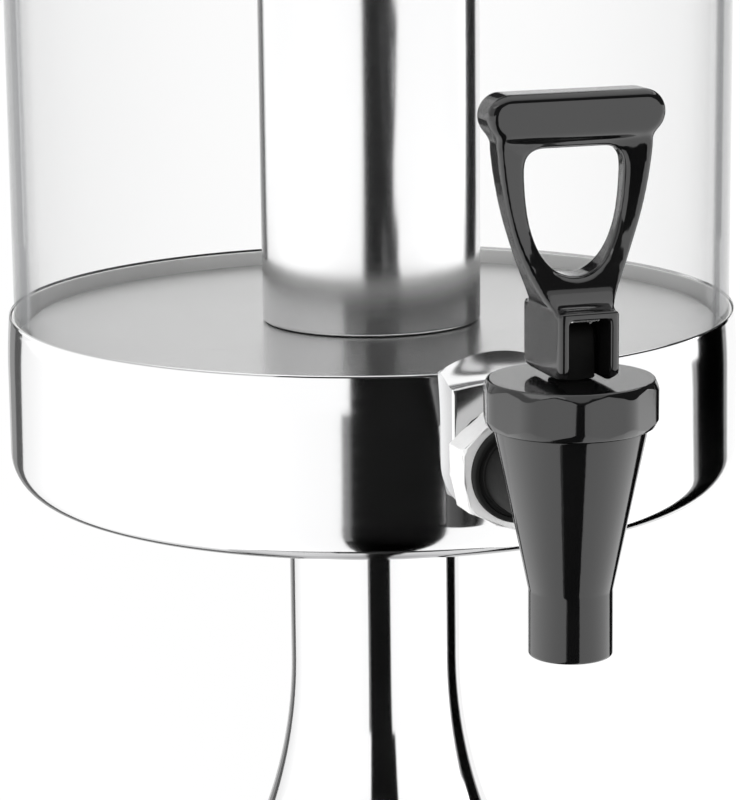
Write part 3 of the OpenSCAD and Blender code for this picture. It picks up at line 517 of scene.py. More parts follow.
def makeFeet():
    f = foot
    profile = softProfile([(f["sinkR"], 0), (f["radius"], 0, 1.0), (f["radius"], 1.6),
                           (f["radius"] - 0.6, f["height"], softEdge), (f["boreR"], f["height"]),
                           (f["boreR"], f["sinkZ"]), (f["sinkR"], f["sinkZ"])])
    footForm = forge("footForm", [lathe(profile, turns=48)], rubber)
    s = footScrew
    profile = softProfile([(0, s["low"] + 1.1), (s["socketR"], s["low"] + 0.9),
                           (s["socketR"], s["low"], 0.1), (s["headR"], s["low"], 0.7),
                           (s["headR"], s["high"]), (s["shaftR"], s["high"]), (s["shaftR"], s["end"] - 1),
                           (s["shaftR"] - 0.8, s["end"]), (0, s["end"])])
    screwForm = forge("screwForm", [lathe(profile, turns=40)], turnedSteel)
    sets = (("rubberFeet", footForm, rubber, "rubber", "feet"),
            ("footScrews", screwForm, turnedSteel, "brushed_steel", "foot_screws"))
    for name, form, finish, slot, node in sets:
        sizes = {"spanX": f["spanX"] * mm, "spanY": f["spanY"] * mm, "across": 3, "deep": 2, "finish": finish}
        flow, size = startTree(name, sizes)
        grid = flow.add("GeometryNodeMeshGrid", None, {"Size X": size["spanX"], "Size Y": size["spanY"],
                                                       "Vertices X": size["across"],
                                                       "Vertices Y": size["deep"]})
        model = flow.add("GeometryNodeObjectInfo", {"transform_space": "ORIGINAL"}, {"Object": form},
                         out="Geometry")
        spread = flow.add("GeometryNodeInstanceOnPoints", None, {"Points": grid, "Instance": model})
        dress(settle(grow(name, flow, spread, sizes, size["finish"]), finish), slot, node)
    for form in (footForm, screwForm):
        bpy.data.objects.remove(form)


makeFeet()
print("base, feet and foot screws made")


# Bowl, column and what stands in the bowl

bowl = {"outer": 100.0, "inner": 98.95, "low": 187.0, "corner": 11.0, "rim": 236.0, "rodHole": 4.4,
        "wall": 1.0, "leanFrom": 221.0, "lean": 0.62, "roll": 1.0, "rollIn": 0.03}
column = {"stem": 23.6, "flareZ": 136.0, "flareR": 132.85, "low": base["high"], "top": bowl["low"],
          "wall": 1.2, "cap": 3.0, "rodHole": bowl["rodHole"]}
container = {"outer": 97.9, "inner": 94.3, "low": 229.0, "high": 481.0}
gasket = {"lip": 98.7, "inner": 97.96, "low": 227.0, "seat": container["low"], "high": 235.4}


def makeStand(side):
    b = bowl
    wallTop, floorTop, edge = b["rim"] - b["roll"], b["low"] + b["wall"], b["inner"] + b["rollIn"]
    leanRun = wallTop - b["leanFrom"]
    wall = [(b["outer"] - b["lean"] * ((z - b["leanFrom"]) / leanRun) ** 2, z)
            for z in np.linspace(b["leanFrom"], wallTop, 15)]
    roll = [(edge + (wall[-1][0] - edge) * math.cos(t), wallTop + b["roll"] * math.sin(t))
            for t in np.linspace(0.2, math.pi / 2, 9)]
    profile = softProfile([(b["rodHole"], b["low"]), (b["outer"], b["low"], b["corner"]), *wall, *roll,
                           (b["inner"], b["rim"] - 0.05), (b["inner"], floorTop, b["corner"] - b["wall"]),
                           (b["rodHole"], floorTop)], steps=14)
    fit(side, "bowlShell", "bowl", "polished_steel", bowlSteel, [lathe(profile, turns=224)], atColumn(side))
    c = column
    outerFoot = math.degrees(math.asin((c["flareZ"] - c["low"]) / c["flareR"]))
    innerFoot = math.degrees(math.asin((c["flareZ"] - c["low"]) / (c["flareR"] + c["wall"])))
    centre = c["stem"] + c["flareR"]
    stem = softProfile([(c["stem"], c["flareZ"] + 0.5), (c["stem"], c["top"], softEdge),
                        (c["rodHole"], c["top"]), (c["rodHole"], c["top"] - c["cap"]),
                        (c["stem"] - c["wall"], c["top"] - c["cap"])])
    profile = (arc(centre, c["flareZ"], c["flareR"], 180 + outerFoot, 180, 40) + stem
               + arc(centre, c["flareZ"], c["flareR"] + c["wall"], 180, 180 + innerFoot, 40))
    fit(side, "columnTube", "column", "polished_steel", steel, [lathe(profile, turns=192)], atColumn(side))
    c = container
    profile = softProfile([(c["inner"], c["low"], plainEdge), (c["outer"], c["low"], plainEdge),
                           (c["outer"], c["high"], 0.8), (c["inner"], c["high"], 0.8)])
    fit(side, "containerWall", "container", "clear_plastic", clearPlastic, [lathe(profile, turns=224)],
        atColumn(side))
    g = gasket
    profile = softProfile([(c["inner"], g["low"]), (g["lip"], g["low"], plainEdge),
                           (g["lip"], g["high"], plainEdge), (g["inner"], g["high"], plainEdge),
                           (g["inner"], g["seat"]), (c["inner"], g["seat"])])
    fit(side, "footGasket", "container_gasket", "silicone", silicone, [lathe(profile)], atColumn(side))


# Lid, ice tube and cap

lid = {"domeZ": 245.784, "domeR": 256.016, "wall": 0.8, "hole": 30.5, "edge": 99.2, "skirt": 469.0,
       "shelf": container["high"], "shelfIn": container["inner"]}
tube = {"outer": 30.0, "low": 232.15, "corner": 0.9, "wall": 0.8, "high": 501.177, "flange": 36.5,
        "flangeLow": 499.977}
cap = {"edge": 37.7, "domeZ": 386.636, "domeR": 121.441, "wall": 0.9, "low": 500.577,
       "seat": tube["high"], "seatIn": tube["outer"], "hole": 2.55}
knob = {"ball": 13.0, "ballZ": 526.609, "neck": 6.0, "low": 507.93, "screwR": 2.56, "depth": 526.08}


def makeTop(side):
    l = lid
    under = l["domeR"] - l["wall"]
    dome = domeArc(l["domeZ"], l["domeR"], l["hole"], l["edge"])
    dome += domeArc(l["domeZ"], under, l["edge"], l["hole"])
    fit(side, "lidDome", "lid", "polished_steel", lidSteel, [lathe(dome, turns=224)], atColumn(side))
    shelfTop = l["shelf"] + l["wall"]
    meet = math.sqrt(under ** 2 - (shelfTop - l["domeZ"]) ** 2)
    skirtIn = l["edge"] - l["wall"]
    rim = softProfile([(l["shelfIn"], l["shelf"], fineEdge), (skirtIn, l["shelf"], plainEdge),
                       (skirtIn, l["skirt"], plainEdge), (l["edge"], l["skirt"], plainEdge),
                       (l["edge"], l["shelf"] - 0.3)])
    rim += domeArc(l["domeZ"], under, l["edge"], meet, 6) + [(l["shelfIn"], shelfTop)]
    fit(side, "lidRim", "lid_rim", "polished_steel", lidSteel, [lathe(rim, turns=224)], atColumn(side))
    t = tube
    inner = t["outer"] - t["wall"]
    profile = softProfile([(0, t["low"]), (t["outer"], t["low"], t["corner"]),
                           (t["outer"], t["high"], fineEdge), (inner, t["high"], fineEdge),
                           (inner, t["low"] + t["wall"], t["corner"]), (0, t["low"] + t["wall"])],
                          steps=10)
    fit(side, "iceTubeWall", "ice_tube", "polished_steel", tubeSteel, [lathe(profile)], atColumn(side))
    ring = softProfile([(t["outer"], t["flangeLow"]), (t["flange"], t["flangeLow"], softEdge),
                        (t["flange"], t["high"], softEdge), (t["outer"], t["high"])])
    fit(side, "tubeFlange", "tube_flange", "polished_steel", lidSteel, [lathe(ring)], atColumn(side))
    c = cap
    under, seatTop = c["domeR"] - c["wall"], c["seat"] + c["wall"]
    meet = math.sqrt(under ** 2 - (seatTop - c["domeZ"]) ** 2)
    skirtIn = c["edge"] - c["wall"]
    domeEnd = c["domeZ"] + math.sqrt(c["domeR"] ** 2 - c["edge"] ** 2)
    skirt = softProfile([(c["edge"] - 0.12, domeEnd - 0.25), (c["edge"], c["seat"] + 0.3),
                         (c["edge"], c["low"], plainEdge), (skirtIn, c["low"], plainEdge),
                         (skirtIn, c["seat"], fineEdge), (c["seatIn"], c["seat"], fineEdge),
                         (c["seatIn"], seatTop, fineEdge)])
    profile = (domeArc(c["domeZ"], c["domeR"], c["hole"], c["edge"] - 0.5) + skirt
               + domeArc(c["domeZ"], under, meet, c["hole"]))
    fit(side, "capDome", "ice_cap", "polished_steel", lidSteel, [lathe(profile)], atColumn(side))
    k = knob
    turn = math.degrees(math.asin((k["neck"] + 1.1) / k["ball"]))
    ballLow = k["ballZ"] - k["ball"] * math.cos(math.radians(turn))
    neck = softProfile([(k["screwR"], k["low"]), (k["neck"] + 1.2, k["low"] - 0.05, plainEdge),
                        (k["neck"] + 1.0, k["low"] + 1.0, softEdge), (k["neck"], k["low"] + 1.9, 0.8),
                        (k["neck"], ballLow - 0.5, 1.2)])
    socket = [(0, k["depth"]), (k["screwR"], k["depth"] - 0.8)]
    profile = neck + arc(0, k["ballZ"], k["ball"], turn - 90, 90, 40) + socket
    fit(side, "capKnob", "cap_knob", "polished_steel", lidSteel, [lathe(profile, turns=112)], atColumn(side))


# Tap mounting on the bowl: pressed boss, hexagon and sealing washer

boss = {"halfWidth": 15.0, "archR": 27.2, "faceHalfWidth": 13.4, "faceTop": 20.7, "wallR": 99.3,
        "face": 104.5, "soft": 0.9, "draw": 1.8, "flatten": 40.0, "middle": 3.0}
hexagon = {"sides": 6, "round": 0.5, "cornerR": 15.877, "turn": 37.0, "low": boss["face"], "high": 114.5,
           "startR": 14.677, "slope": 0.5, "tailR": 10.0, "tailLow": 87.5, "boreR": 8.05}
seal = {"outer": 12.4, "inner": hexagon["boreR"], "low": hexagon["high"], "high": 117.0}


# sides, top and lower half circle, point for point alike at every depth
def bossOutline(halfWidth, top, archR, steps=16):
    shoulder = math.sqrt(archR ** 2 - halfWidth ** 2) + top - archR
    lean = math.asin(halfWidth / archR)
    right = [(halfWidth, shoulder * k / steps) for k in range(steps)]
    leans = [lean * (1 - 2 * k / (2 * steps)) for k in range(2 * steps)]
    over = [(archR * math.sin(t), top - archR + archR * math.cos(t)) for t in leans]
    leftSide = [(-halfWidth, shoulder * (1 - k / steps)) for k in range(steps)]
    turns = [math.pi + math.pi * k / (2 * steps) for k in range(2 * steps)]
    under = [(halfWidth * math.cos(t), halfWidth * math.sin(t)) for t in turns]
    return np.array(right + over + leftSide + under)


def makeBoss(side):
    b = boss
    rings = []
    for t in np.linspace(0, 1, 13):  # draws in fast at the wall, then runs straight to the face
        ease = 1 - (1 - t) ** b["draw"]
        halfWidth = b["halfWidth"] + (b["faceHalfWidth"] - b["halfWidth"]) * ease
        top = b["archR"] + (b["faceTop"] - b["archR"]) * ease
        outline = bossOutline(halfWidth, top, b["archR"] + b["flatten"] * ease)
        wall = np.sqrt(b["wallR"] ** 2 - outline[:, 0] ** 2)
        depth = wall + (b["face"] - b["soft"] - wall) * t
        rings.append(np.column_stack([outline, depth]))
    for turn in np.linspace(0, math.pi / 2, 6)[1:]:
        inset = b["soft"] * (1 - math.cos(turn))
        outline = bossOutline(b["faceHalfWidth"] - inset, b["faceTop"] - inset, b["archR"] + b["flatten"])
        depth = b["face"] - b["soft"] + b["soft"] * math.sin(turn)
        rings.append(np.column_stack([outline, np.full(len(outline), depth)]))
    middle = np.array([0.0, b["middle"]])
    for share in (0.97, 0.0):
        flat = middle + (rings[-1][:, :2] - middle) * share
        rings.append(np.column_stack([flat, np.full(len(outline), b["face"])]))
    back = []
    for share in (0.0, 0.5):
        flat = middle + (rings[0][:, :2] - middle) * share
        back.append(np.column_stack([flat, np.sqrt(b["wallR"] ** 2 - flat[:, 0] ** 2)]))
    fit(side, "hoodBoss", "tap_boss", "polished_steel", bossSteel, [stitch(back + rings, False)],
        alongShank(side), crease=40)


def makeMounting(side):
    h = hexagon
    body = nut(nutOutline(h), h, [(h["boreR"], h["high"]), (h["boreR"], h["low"])], plainEdge)
    tail = lathe([(h["boreR"], h["tailLow"]), (h["tailR"] - 0.6, h["tailLow"]),
                  (h["tailR"], h["tailLow"] + 0.6), (h["tailR"], h["low"]), (h["boreR"], h["low"])],
                 turns=72)
    fit(side, "shankHexagon", "shank_hexagon", "polished_steel", satinSteel, [body, tail], alongShank(side))
    s = seal
    profile = softProfile([(s["inner"], s["low"]), (s["outer"], s["low"], plainEdge),
                           (s["outer"], s["high"], 0.6), (s["outer"] - 1.3, s["high"], 0.15),
                           (s["outer"] - 1.5, s["high"] - 0.6), (s["outer"] - 2.3, s["high"] - 0.6),
                           (s["outer"] - 2.4, s["high"] - 0.1, fineEdge), (s["inner"], s["high"] - 0.1)])
    fit(side, "sealWasher", "seal_washer", "rubber", rubber, [lathe(profile, turns=112)], alongShank(side))


# Tap: body, bonnet, valve and handle

tapBody = {"spoutR": 10.0, "spoutLow": 177.4, "coneLow": 193.4, "coneR": 18.1, "coneHigh": 232.5,
           "neckR": 16.6, "neckHigh": 238.9, "chamberR": 14.1, "seat": 203.8, "seatR": 8.1,
           "seatHole": 5.6, "boreR": 7.4, "shankR": 8.0, "shankLow": 96.0, "collarR": 9.6,
           "collarLow": seal["high"], "shankBore": 5.0, "shankHigh": 138.5}
bonnet = {"sides": 10, "round": 6.5, "cornerR": 21.0, "turn": 3.5, "low": 232.7, "high": 243.9,
          "startR": 19.6, "slope": 2.0, "cavityR": 16.65, "ceiling": 240.1, "hole": 3.25}
valve = {"barbR": 2.4, "low": 205.8, "shoulderR": 5.8, "shoulder": 208.8, "stemR": 3.2, "pinZ": 253.2,
         "pinR": 1.65, "tongueLow": 244.2, "tongueWidth": 9.0, "tongueR": 3.5}
spring = {"radius": 4.5, "wire": 0.5, "turns": 8.0, "low": 210.8, "high": bonnet["ceiling"], "keep": 0.845}
cup = {"low": tapBody["seat"], "radius": 7.8, "wall": 1.2, "plug": valve["shoulder"], "bell": 232.65,
       "flare": 14.05, "flangeR": tapBody["neckR"], "high": bonnet["ceiling"], "barbR": valve["barbR"],
       "barbLow": valve["low"], "keep": 0.875}


def makeTap(side):
    t = tapBody
    outer = softProfile([(t["boreR"], t["spoutLow"], 0.5), (t["spoutR"], t["spoutLow"], 0.7),
                         (t["spoutR"], t["coneLow"], 3.0), (t["coneR"], t["coneHigh"], softEdge),
                         (t["neckR"], t["coneHigh"]), (t["neckR"], t["neckHigh"]),
                         (t["chamberR"], t["neckHigh"]), (t["chamberR"], t["coneHigh"]),
                         (t["seatR"], t["seat"]), (t["seatHole"], t["seat"], plainEdge),
                         (t["seatHole"], t["seat"] - 2), (t["boreR"], t["seat"] - 2)])
    shank = softProfile([(t["shankBore"], t["shankLow"]), (t["shankR"], t["shankLow"], softEdge),
                         (t["shankR"], t["collarLow"]), (t["collarR"], t["collarLow"], softEdge),
                         (t["collarR"], t["shankHigh"]), (t["shankBore"], t["shankHigh"])])
    fit(side, "tapCone", "tap_body", "black_plastic", black, [lathe(outer, turns=144)], atTap(side))
    fit(side, "tapShank", "tap_body", "black_plastic", rubber, [lathe(shank, turns=96)], alongShank(side))
    b = bonnet
    body = nut(nutOutline(b), b, [(b["hole"], b["high"]), (b["hole"], b["ceiling"]),
                                  (b["cavityR"], b["ceiling"]), (b["cavityR"], b["low"])])
    fit(side, "bonnetNut", "bonnet", "black_plastic", black, [body], atTap(side), crease=40)
    v = valve
    stem = softProfile([(0, v["low"]), (v["barbR"], v["low"], softEdge), (v["barbR"], v["shoulder"]),
                        (v["shoulderR"], v["shoulder"], fineEdge),
                        (v["shoulderR"], v["shoulder"] + 2, plainEdge), (v["stemR"], v["shoulder"] + 2),
                        (v["stemR"], v["tongueLow"]), (0, v["tongueLow"])])
    outline = [(v["tongueR"] * math.cos(t), v["pinZ"] + v["tongueR"] * math.sin(t))
               for t in np.linspace(0, math.pi, 25)]
    outline = outline[:-1] + [(-v["tongueR"], z) for z in np.linspace(v["pinZ"], v["tongueLow"], 7)]
    outline += [(v["tongueR"] * (k / 3 - 1), v["tongueLow"]) for k in range(1, 7)]
    outline += [(v["tongueR"], z) for z in np.linspace(v["tongueLow"], v["pinZ"], 7)[1:-1]]
    outline, half, soft = np.array(outline), v["tongueWidth"] / 2, 0.4
    middle = np.array([0, v["pinZ"]])
    turns = np.arctan2(outline[:, 1] - middle[1], outline[:, 0])
    hole = middle + v["pinR"] * np.column_stack([np.cos(turns), np.sin(turns)])
    inner = middle + (outline - middle) * (1 - soft / np.hypot(*(outline - middle).T))[:, None]
    layers = [(hole, -half), (inner, -half), (outline, soft - half), (outline, half - soft),
              (inner, half), (hole, half)]
    tongue = stitch([np.column_stack([np.full(len(flat), x), flat]) for flat, x in layers])
    fit(side, "valveStem", "valve_stem", "black_plastic", rubber, [lathe(stem, turns=64), tongue],
        atTap(side))
    c = cup
    profile = softProfile([(0, c["low"]), (c["radius"], c["low"], 0.6),
                           (c["radius"], c["bell"] - 1.2, 2.0), (c["flare"], c["high"] - 2.4),
                           (c["flare"], c["high"] - 1.2), (c["flangeR"], c["high"] - 1.2, plainEdge),
                           (c["flangeR"], c["high"], plainEdge), (c["flare"] - c["wall"], c["high"]),
                           (c["radius"] - c["wall"], c["bell"], 2.0),
                           (c["radius"] - c["wall"], c["plug"]), (c["barbR"], c["plug"]),
                           (c["barbR"], c["barbLow"]), (0, c["barbLow"])])
    seat = fit(side, "seatCup", "seat_cup", "rubber", rubber, [lathe(profile, turns=96)], atTap(side))
    c["low"] * mm
    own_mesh(seat)


def makeSpring(side):
    s = spring
    length = s["high"] - s["low"] - 2 * s["wire"]
    sizes = {"radius": s["radius"] * mm, "wire": s["wire"] * mm, "length": length * mm,
             "turns": s["turns"], "perTurn": 28, "x": unitX[side] * mm, "y": tapY * mm,
             "z": (s["low"] + s["wire"]) * mm, "finish": turnedSteel}
    flow, size = startTree("springWire", sizes)
    coil = flow.add("GeometryNodeCurveSpiral", None, {
        "Resolution": size["perTurn"], "Rotations": size["turns"], "Start Radius": size["radius"],
        "End Radius": size["radius"], "Height": size["length"]})
    wire = flow.add("GeometryNodeCurvePrimitiveCircle", None, {"Resolution": 12, "Radius": size["wire"]})
    body = flow.add("GeometryNodeCurveToMesh", None, {"Curve": coil, "Profile Curve": wire,
                                                      "Fill Caps": True})
    place = flow.vector(X=size["x"], Y=size["y"], Z=size["z"])
    body = flow.add("GeometryNodeTransform", None, {"Geometry": body, "Translation": place})
    coilPiece = settle(grow("springWire_" + side, flow, body, sizes, size["finish"]), turnedSteel)
    dress(coilPiece, "brushed_steel", "valve_spring_" + side)
    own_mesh(coilPiece)


# Handle: a field of distances to its skin, so that every edge and inner corner is round,
# with a mesh drawn over its zero

handle = {"step": 0.5, "footHalf": 7.5, "footHigh": 17.0, "footDeep": 12.0, "toe": 4.5, "bevel": 2.0,
          "armTop": 61.2, "armHalf": 19.4, "armDraw": 34.1, "armDeep": 3.5, "waist": 16.0, "dish": 11.0,
          "edge": 1.5, "barHalf": 21.6, "barHigh": 5.3, "barDeep": 5.3, "barEdge": 2.0, "slotHalf": 5.0,
          "slotTop": 15.2, "slotRound": 1.0, "pinZ": 9.0, "pinR": 1.75, "z": valve["tongueLow"],
          "dishLow": 27.0, "dishIn": 9.0, "dishHigh": 57.0, "dishOut": 4.0, "dishX": 15.8,
          "dishReach": 4.0, "barJoin": 1.6, "slotEdge": 0.6, "room": (23.25, 13.25, 68.25), "below": 1.75,
          "windowLow": 24.1, "windowHalf": 12.2, "windowTop": 53.6, "windowRound": 23.0,
          "windowCorner": 5.0}


def bend(a, b, c, steps=20):
    t = np.linspace(0, 1, steps + 1)[:, None]
    return (1 - t) ** 2 * np.array(a) + 2 * t * (1 - t) * np.array(b) + t ** 2 * np.array(c)


def mirrored(points):
    return np.concatenate([points, points[::-1] * (-1, 1)])


def outlineDistance(u, v, outline):  # signed distance on a grid of u by v, less than nothing inside
    u, v = np.meshgrid(u, v, indexing="ij")
    near, inside = np.full(u.shape, 1e9), np.zeros(u.shape, bool)
    for a, b in zip(outline, np.roll(outline, -1, 0)):
        run = b - a
        if np.dot(run, run) < 1e-12:
            continue
        t = np.clip(((u - a[0]) * run[0] + (v - a[1]) * run[1]) / np.dot(run, run), 0, 1)
        near = np.minimum(near, np.hypot(u - a[0] - t * run[0], v - a[1] - t * run[1]))
        if a[1] != b[1]:
            inside ^= ((a[1] > v) != (b[1] > v)) & (u < a[0] + run[0] * (v - a[1]) / (b[1] - a[1]))
    return np.where(inside, -near, near)


def roundMeet(a, b, r):  # where two solids overlap, with a rounded edge
    return np.minimum(-r, np.maximum(a, b)) + np.hypot(np.maximum(a + r, 0), np.maximum(b + r, 0))


def roundJoin(a, b, r):  # two solids with a fillet between them
    return np.maximum(r, np.minimum(a, b)) - np.hypot(np.maximum(r - a, 0), np.maximum(r - b, 0))


# one point in each cell that the skin crosses, one quad over each crossed edge
def skinField(field, low, step):
    inside, cells = field < 0, np.array(field.shape) - 1
    total, count = np.zeros((*cells, 3)), np.zeros(cells)

    def block(start):
        return tuple(slice(s, s + n) for s, n in zip(start, cells))

    for corner in np.ndindex(2, 2, 2):
        for axis in range(3):
            if corner[axis]:
                continue
            far = tuple(c + (i == axis) for i, c in enumerate(corner))
            a, b = field[block(corner)], field[block(far)]
            crossed = (a < 0) != (b < 0)
            spot = np.broadcast_to(np.array(corner, float), (*cells, 3)).copy()
            spot[..., axis] += np.where(crossed, a / np.where(crossed, a - b, 1), 0)
            total += spot * crossed[..., None]
            count += crossed
    active = count > 0
    number = np.full(active.shape, -1)
    number[active] = np.arange(active.sum())
    points = low + step * (np.argwhere(active) + total[active] / count[active][:, None])
    faces = []
    for axis in range(3):
        u, v = (axis + 1) % 3, (axis + 2) % 3
        near = [slice(1, n) for n in cells]
        near[axis] = slice(0, cells[axis])
        ahead = list(near)
        ahead[axis] = slice(1, cells[axis] + 1)
        a, b = inside[tuple(near)], inside[tuple(ahead)]
        spots = np.argwhere(a != b)
        spots[:, u] += 1
        spots[:, v] += 1

        def around(du, dv):
            c = spots.copy()
            c[:, u] += du
            c[:, v] += dv
            return number[c[:, 0], c[:, 1], c[:, 2]]

        faces.append(np.stack([around(-1, -1), around(0, -1), around(0, 0), around(-1, 0)], 1))
    return points, np.concatenate(faces)


# the field's value at any points, from the eight grid points round each
def sample(field, low, step, points):
    spot = (points - low) / step
    cell = np.clip(np.floor(spot).astype(int), 0, np.array(field.shape) - 2)
    share = spot - cell
    value = np.zeros(len(points))
    for corner in np.ndindex(2, 2, 2):
        weight = np.prod(np.where(corner, share, 1 - share), axis=1)
        value += weight * field[tuple((cell + corner).T)]
    return value


def handleField():
    h = handle
    high = np.array(h["room"])
    low = np.array([-high[0], -high[1], -h["below"]])
    x, y, z = (np.arange(low[i], high[i], h["step"]) for i in range(3))
    arm = bend((h["footHalf"], h["footHigh"]), (h["armHalf"] - 1, h["armDraw"]), (h["armHalf"], h["armTop"]))
    heel = [(h["footHalf"] - h["bevel"], 0), (h["footHalf"], h["bevel"])]
    front = outlineDistance(x, z, mirrored(np.concatenate([heel, arm])))
    half, sill, top = h["windowHalf"], h["windowLow"], h["windowTop"]
    below = bend((0, sill), (half - 1, sill), (half, sill + h["windowRound"]))
    above = bend((half, top - h["windowCorner"]), (half, top), (half - h["windowCorner"], top))
    front = np.maximum(front, -outlineDistance(x, z, mirrored(np.concatenate([below, above]))))
    toe = bend((h["footDeep"] - h["toe"], 0), (h["footDeep"], 0), (h["footDeep"], h["toe"]))
    waist = bend((h["footDeep"], h["footHigh"]), (h["armDeep"], h["footHigh"]),
                 (h["armDeep"], h["footHigh"] + h["waist"]))
    side = outlineDistance(y, z, mirrored(np.concatenate([toe, waist, [(h["armDeep"], h["armTop"])]])))
    rise = np.clip((z - h["dishLow"]) / h["dishIn"], 0, 1) * np.clip((h["dishHigh"] - z) / h["dishOut"], 0, 1)
    aside = np.clip(np.abs(x) - h["dishX"], -h["dishReach"], h["dishReach"])
    dish = math.tan(math.radians(h["dish"])) * aside[:, None] * rise[None, :]
    body = roundMeet(front[:, None, :], side[None, :, :] - dish[:, None, :], h["edge"])
    length = h["barHalf"] - h["barHigh"]
    end = np.hypot(np.maximum(np.abs(x) - length, 0)[:, None], (z - h["armTop"])[None, :]) - h["barHigh"]
    bar = roundMeet(end[:, None, :], np.abs(y)[None, :, None] - h["barDeep"], h["barEdge"])
    body = roundJoin(body, bar, h["barJoin"])
    inset = h["slotRound"]
    across = np.maximum(np.abs(x) - h["slotHalf"] + inset, 0)
    upward = np.maximum(z - h["slotTop"] + inset, 0)
    slot = np.hypot(across[:, None], upward[None, :]) - inset
    slot = np.where(slot > -inset, slot, -inset)
    body = roundMeet(body, -slot[:, None, :], h["slotEdge"])
    pin = np.hypot(y[:, None], (z - h["pinZ"])[None, :]) - h["pinR"]
    return np.maximum(body, -np.maximum(pin[None, :, :], -x[:, None, None])), low, h["step"]


def makeHandleShape():
    field, low, step = handleField()
    points, faces = skinField(field, low, step)
    reach, pull, flat = 0.2, 0.8, 0.2
    for k in range(3):  # pulls the points on to the skin itself
        value = sample(field, low, step, points)
        ahead, behind = ([sample(field, low, step, points + d) for d in way * np.eye(3)]
                         for way in (reach, -reach))
        slope = (np.stack(ahead, 1) - np.stack(behind, 1)) / (2 * reach)
        points = points - pull * slope * (value / np.maximum((slope ** 2).sum(1), flat))[:, None]
    return points, faces


handleShape = makeHandleShape()
print("handle skin:", len(handleShape[1]), "quads")


def makeHandle(side):
    fit(side, "leverHandle", "tap_handle", "black_plastic", black, [handleShape],
        atTap(side, handle["z"]), crease=60)


# Drip tray and its grille

tray = {"lowR": 50.0, "rimR": 54.0, "low": base["high"] - base["recessDepth"], "ledge": 35.5,
        "high": 40.5, "wall": 1.0}
grille = {"radius": 52.7, "low": tray["ledge"], "thick": 2.0, "slot": 4.0, "pitch": 9.0, "reach": 45.0,
          "slots": 9}


def makeTray(side):
    t = tray
    low, inR = t["low"], t["lowR"] - t["wall"]
    profile = softProfile([(0, low), (t["lowR"], low, 2.0), (t["lowR"], t["ledge"] - 1, softEdge),
                           (t["rimR"], t["ledge"] - 1, 0.5), (t["rimR"], t["high"], 0.35),
                           (t["rimR"] - 1, t["high"], 0.35), (t["rimR"] - 1, t["ledge"], plainEdge),
                           (inR, t["ledge"], 0.5), (inR, low + 1, 1.5), (0, low + 1)])
    fit(side, "dripTray", "drip_tray", "polished_steel", lidSteel, [lathe(profile, turns=160)], atTap(side))


def makeGrille(side):
    g = grille
    sizes = {"radius": g["radius"] * mm, "thick": g["thick"] * mm, "slot": g["slot"] * mm,
             "pitch": g["pitch"] * mm, "reach": g["reach"] * mm, "slots": g["slots"],
             "x": unitX[side] * mm, "y": tapY * mm, "z": g["low"] * mm, "finish": baseSteel}
    flow, size = startTree("grillePlate", sizes)
    first = size["pitch"] * (size["slots"] - 1) * -0.5
    row = flow.add("GeometryNodeMeshLine", None,
                   {"Count": size["slots"], "Start Location": flow.vector(X=first),
                    "Offset": flow.vector(X=size["pitch"])})
    spots = flow.add("GeometryNodeInputPosition")
    across = flow.add("ShaderNodeSeparateXYZ", None, {"Vector": spots}, out="X")
    reachY = 2.0 * (size["reach"] * size["reach"] - across * across) ** 0.5 + size["slot"]
    bar = flow.add("GeometryNodeCurvePrimitiveQuadrilateral", None, {"Width": size["slot"], "Height": 1.0})
    bars = flow.add("GeometryNodeInstanceOnPoints", None, {
        "Points": row, "Instance": bar, "Scale": flow.vector(X=1.0, Y=reachY, Z=1.0)})
    bars = flow.add("GeometryNodeRealizeInstances", None, {"Geometry": bars})
    ends = flow.add("GeometryNodeFilletCurve", {"mode": "POLY"}, {
        "Curve": bars, "Count": 8, "Radius": size["slot"] * 0.499, "Limit Radius": True})
    edge = flow.add("GeometryNodeCurvePrimitiveCircle", None, {"Resolution": 144, "Radius": size["radius"]})
    plan = flow.add("GeometryNodeJoinGeometry", None, {"Geometry": [edge, ends]})
    sheet = flow.add("GeometryNodeFillCurve", {"mode": "TRIANGLES"}, {"Curve": plan})
    upper = flow.add("GeometryNodeExtrudeMesh", {"mode": "FACES"}, {
        "Mesh": sheet, "Offset": flow.vector(Z=1.0), "Offset Scale": size["thick"], "Individual": False})
    lower = flow.add("GeometryNodeFlipFaces", None, {"Mesh": sheet})
    solid = flow.add("GeometryNodeJoinGeometry", None, {"Geometry": [upper, lower]})
    solid = flow.add("GeometryNodeMergeByDistance", None, {"Geometry": solid, "Distance": 1e-6})
    place = flow.vector(X=size["x"], Y=size["y"], Z=size["z"])
    solid = flow.add("GeometryNodeTransform", None, {"Geometry": solid, "Translation": place})
    plate = settle(grow("grillePlate_" + side, flow, solid, sizes, size["finish"]), baseSteel)
    dress(plate, "brushed_steel", "drip_grille_" + side)


for side in unitX:
    makeStand(side)
    makeTop(side)
    makeBoss(side)
    makeMounting(side)
    makeTap(side)
    makeSpring(side)
    makeHandle(side)
    makeTray(side)
    makeGrille(side)
    print("unit made:", side)


# CAD pieces whose shape is right keep it and get the finishes

kept = {node: turnedSteel for node in ("base_plate", "tie_rods", "rod_washers", "rod_nuts")}
for side in unitX:
    kept.update({node + "_" + side: turnedSteel for node in ("drain_elbow", "knob_screw", "pivot_pin")})
    kept.update({"floor_pan_" + side: panSteel, "shank_gasket_" + side: rubber})
for node, finish in kept.items():
    frame["nodes"][node].data.materials.clear()
    frame["nodes"][node].data.materials.append(finish)
print("kept CAD pieces:", len(kept))
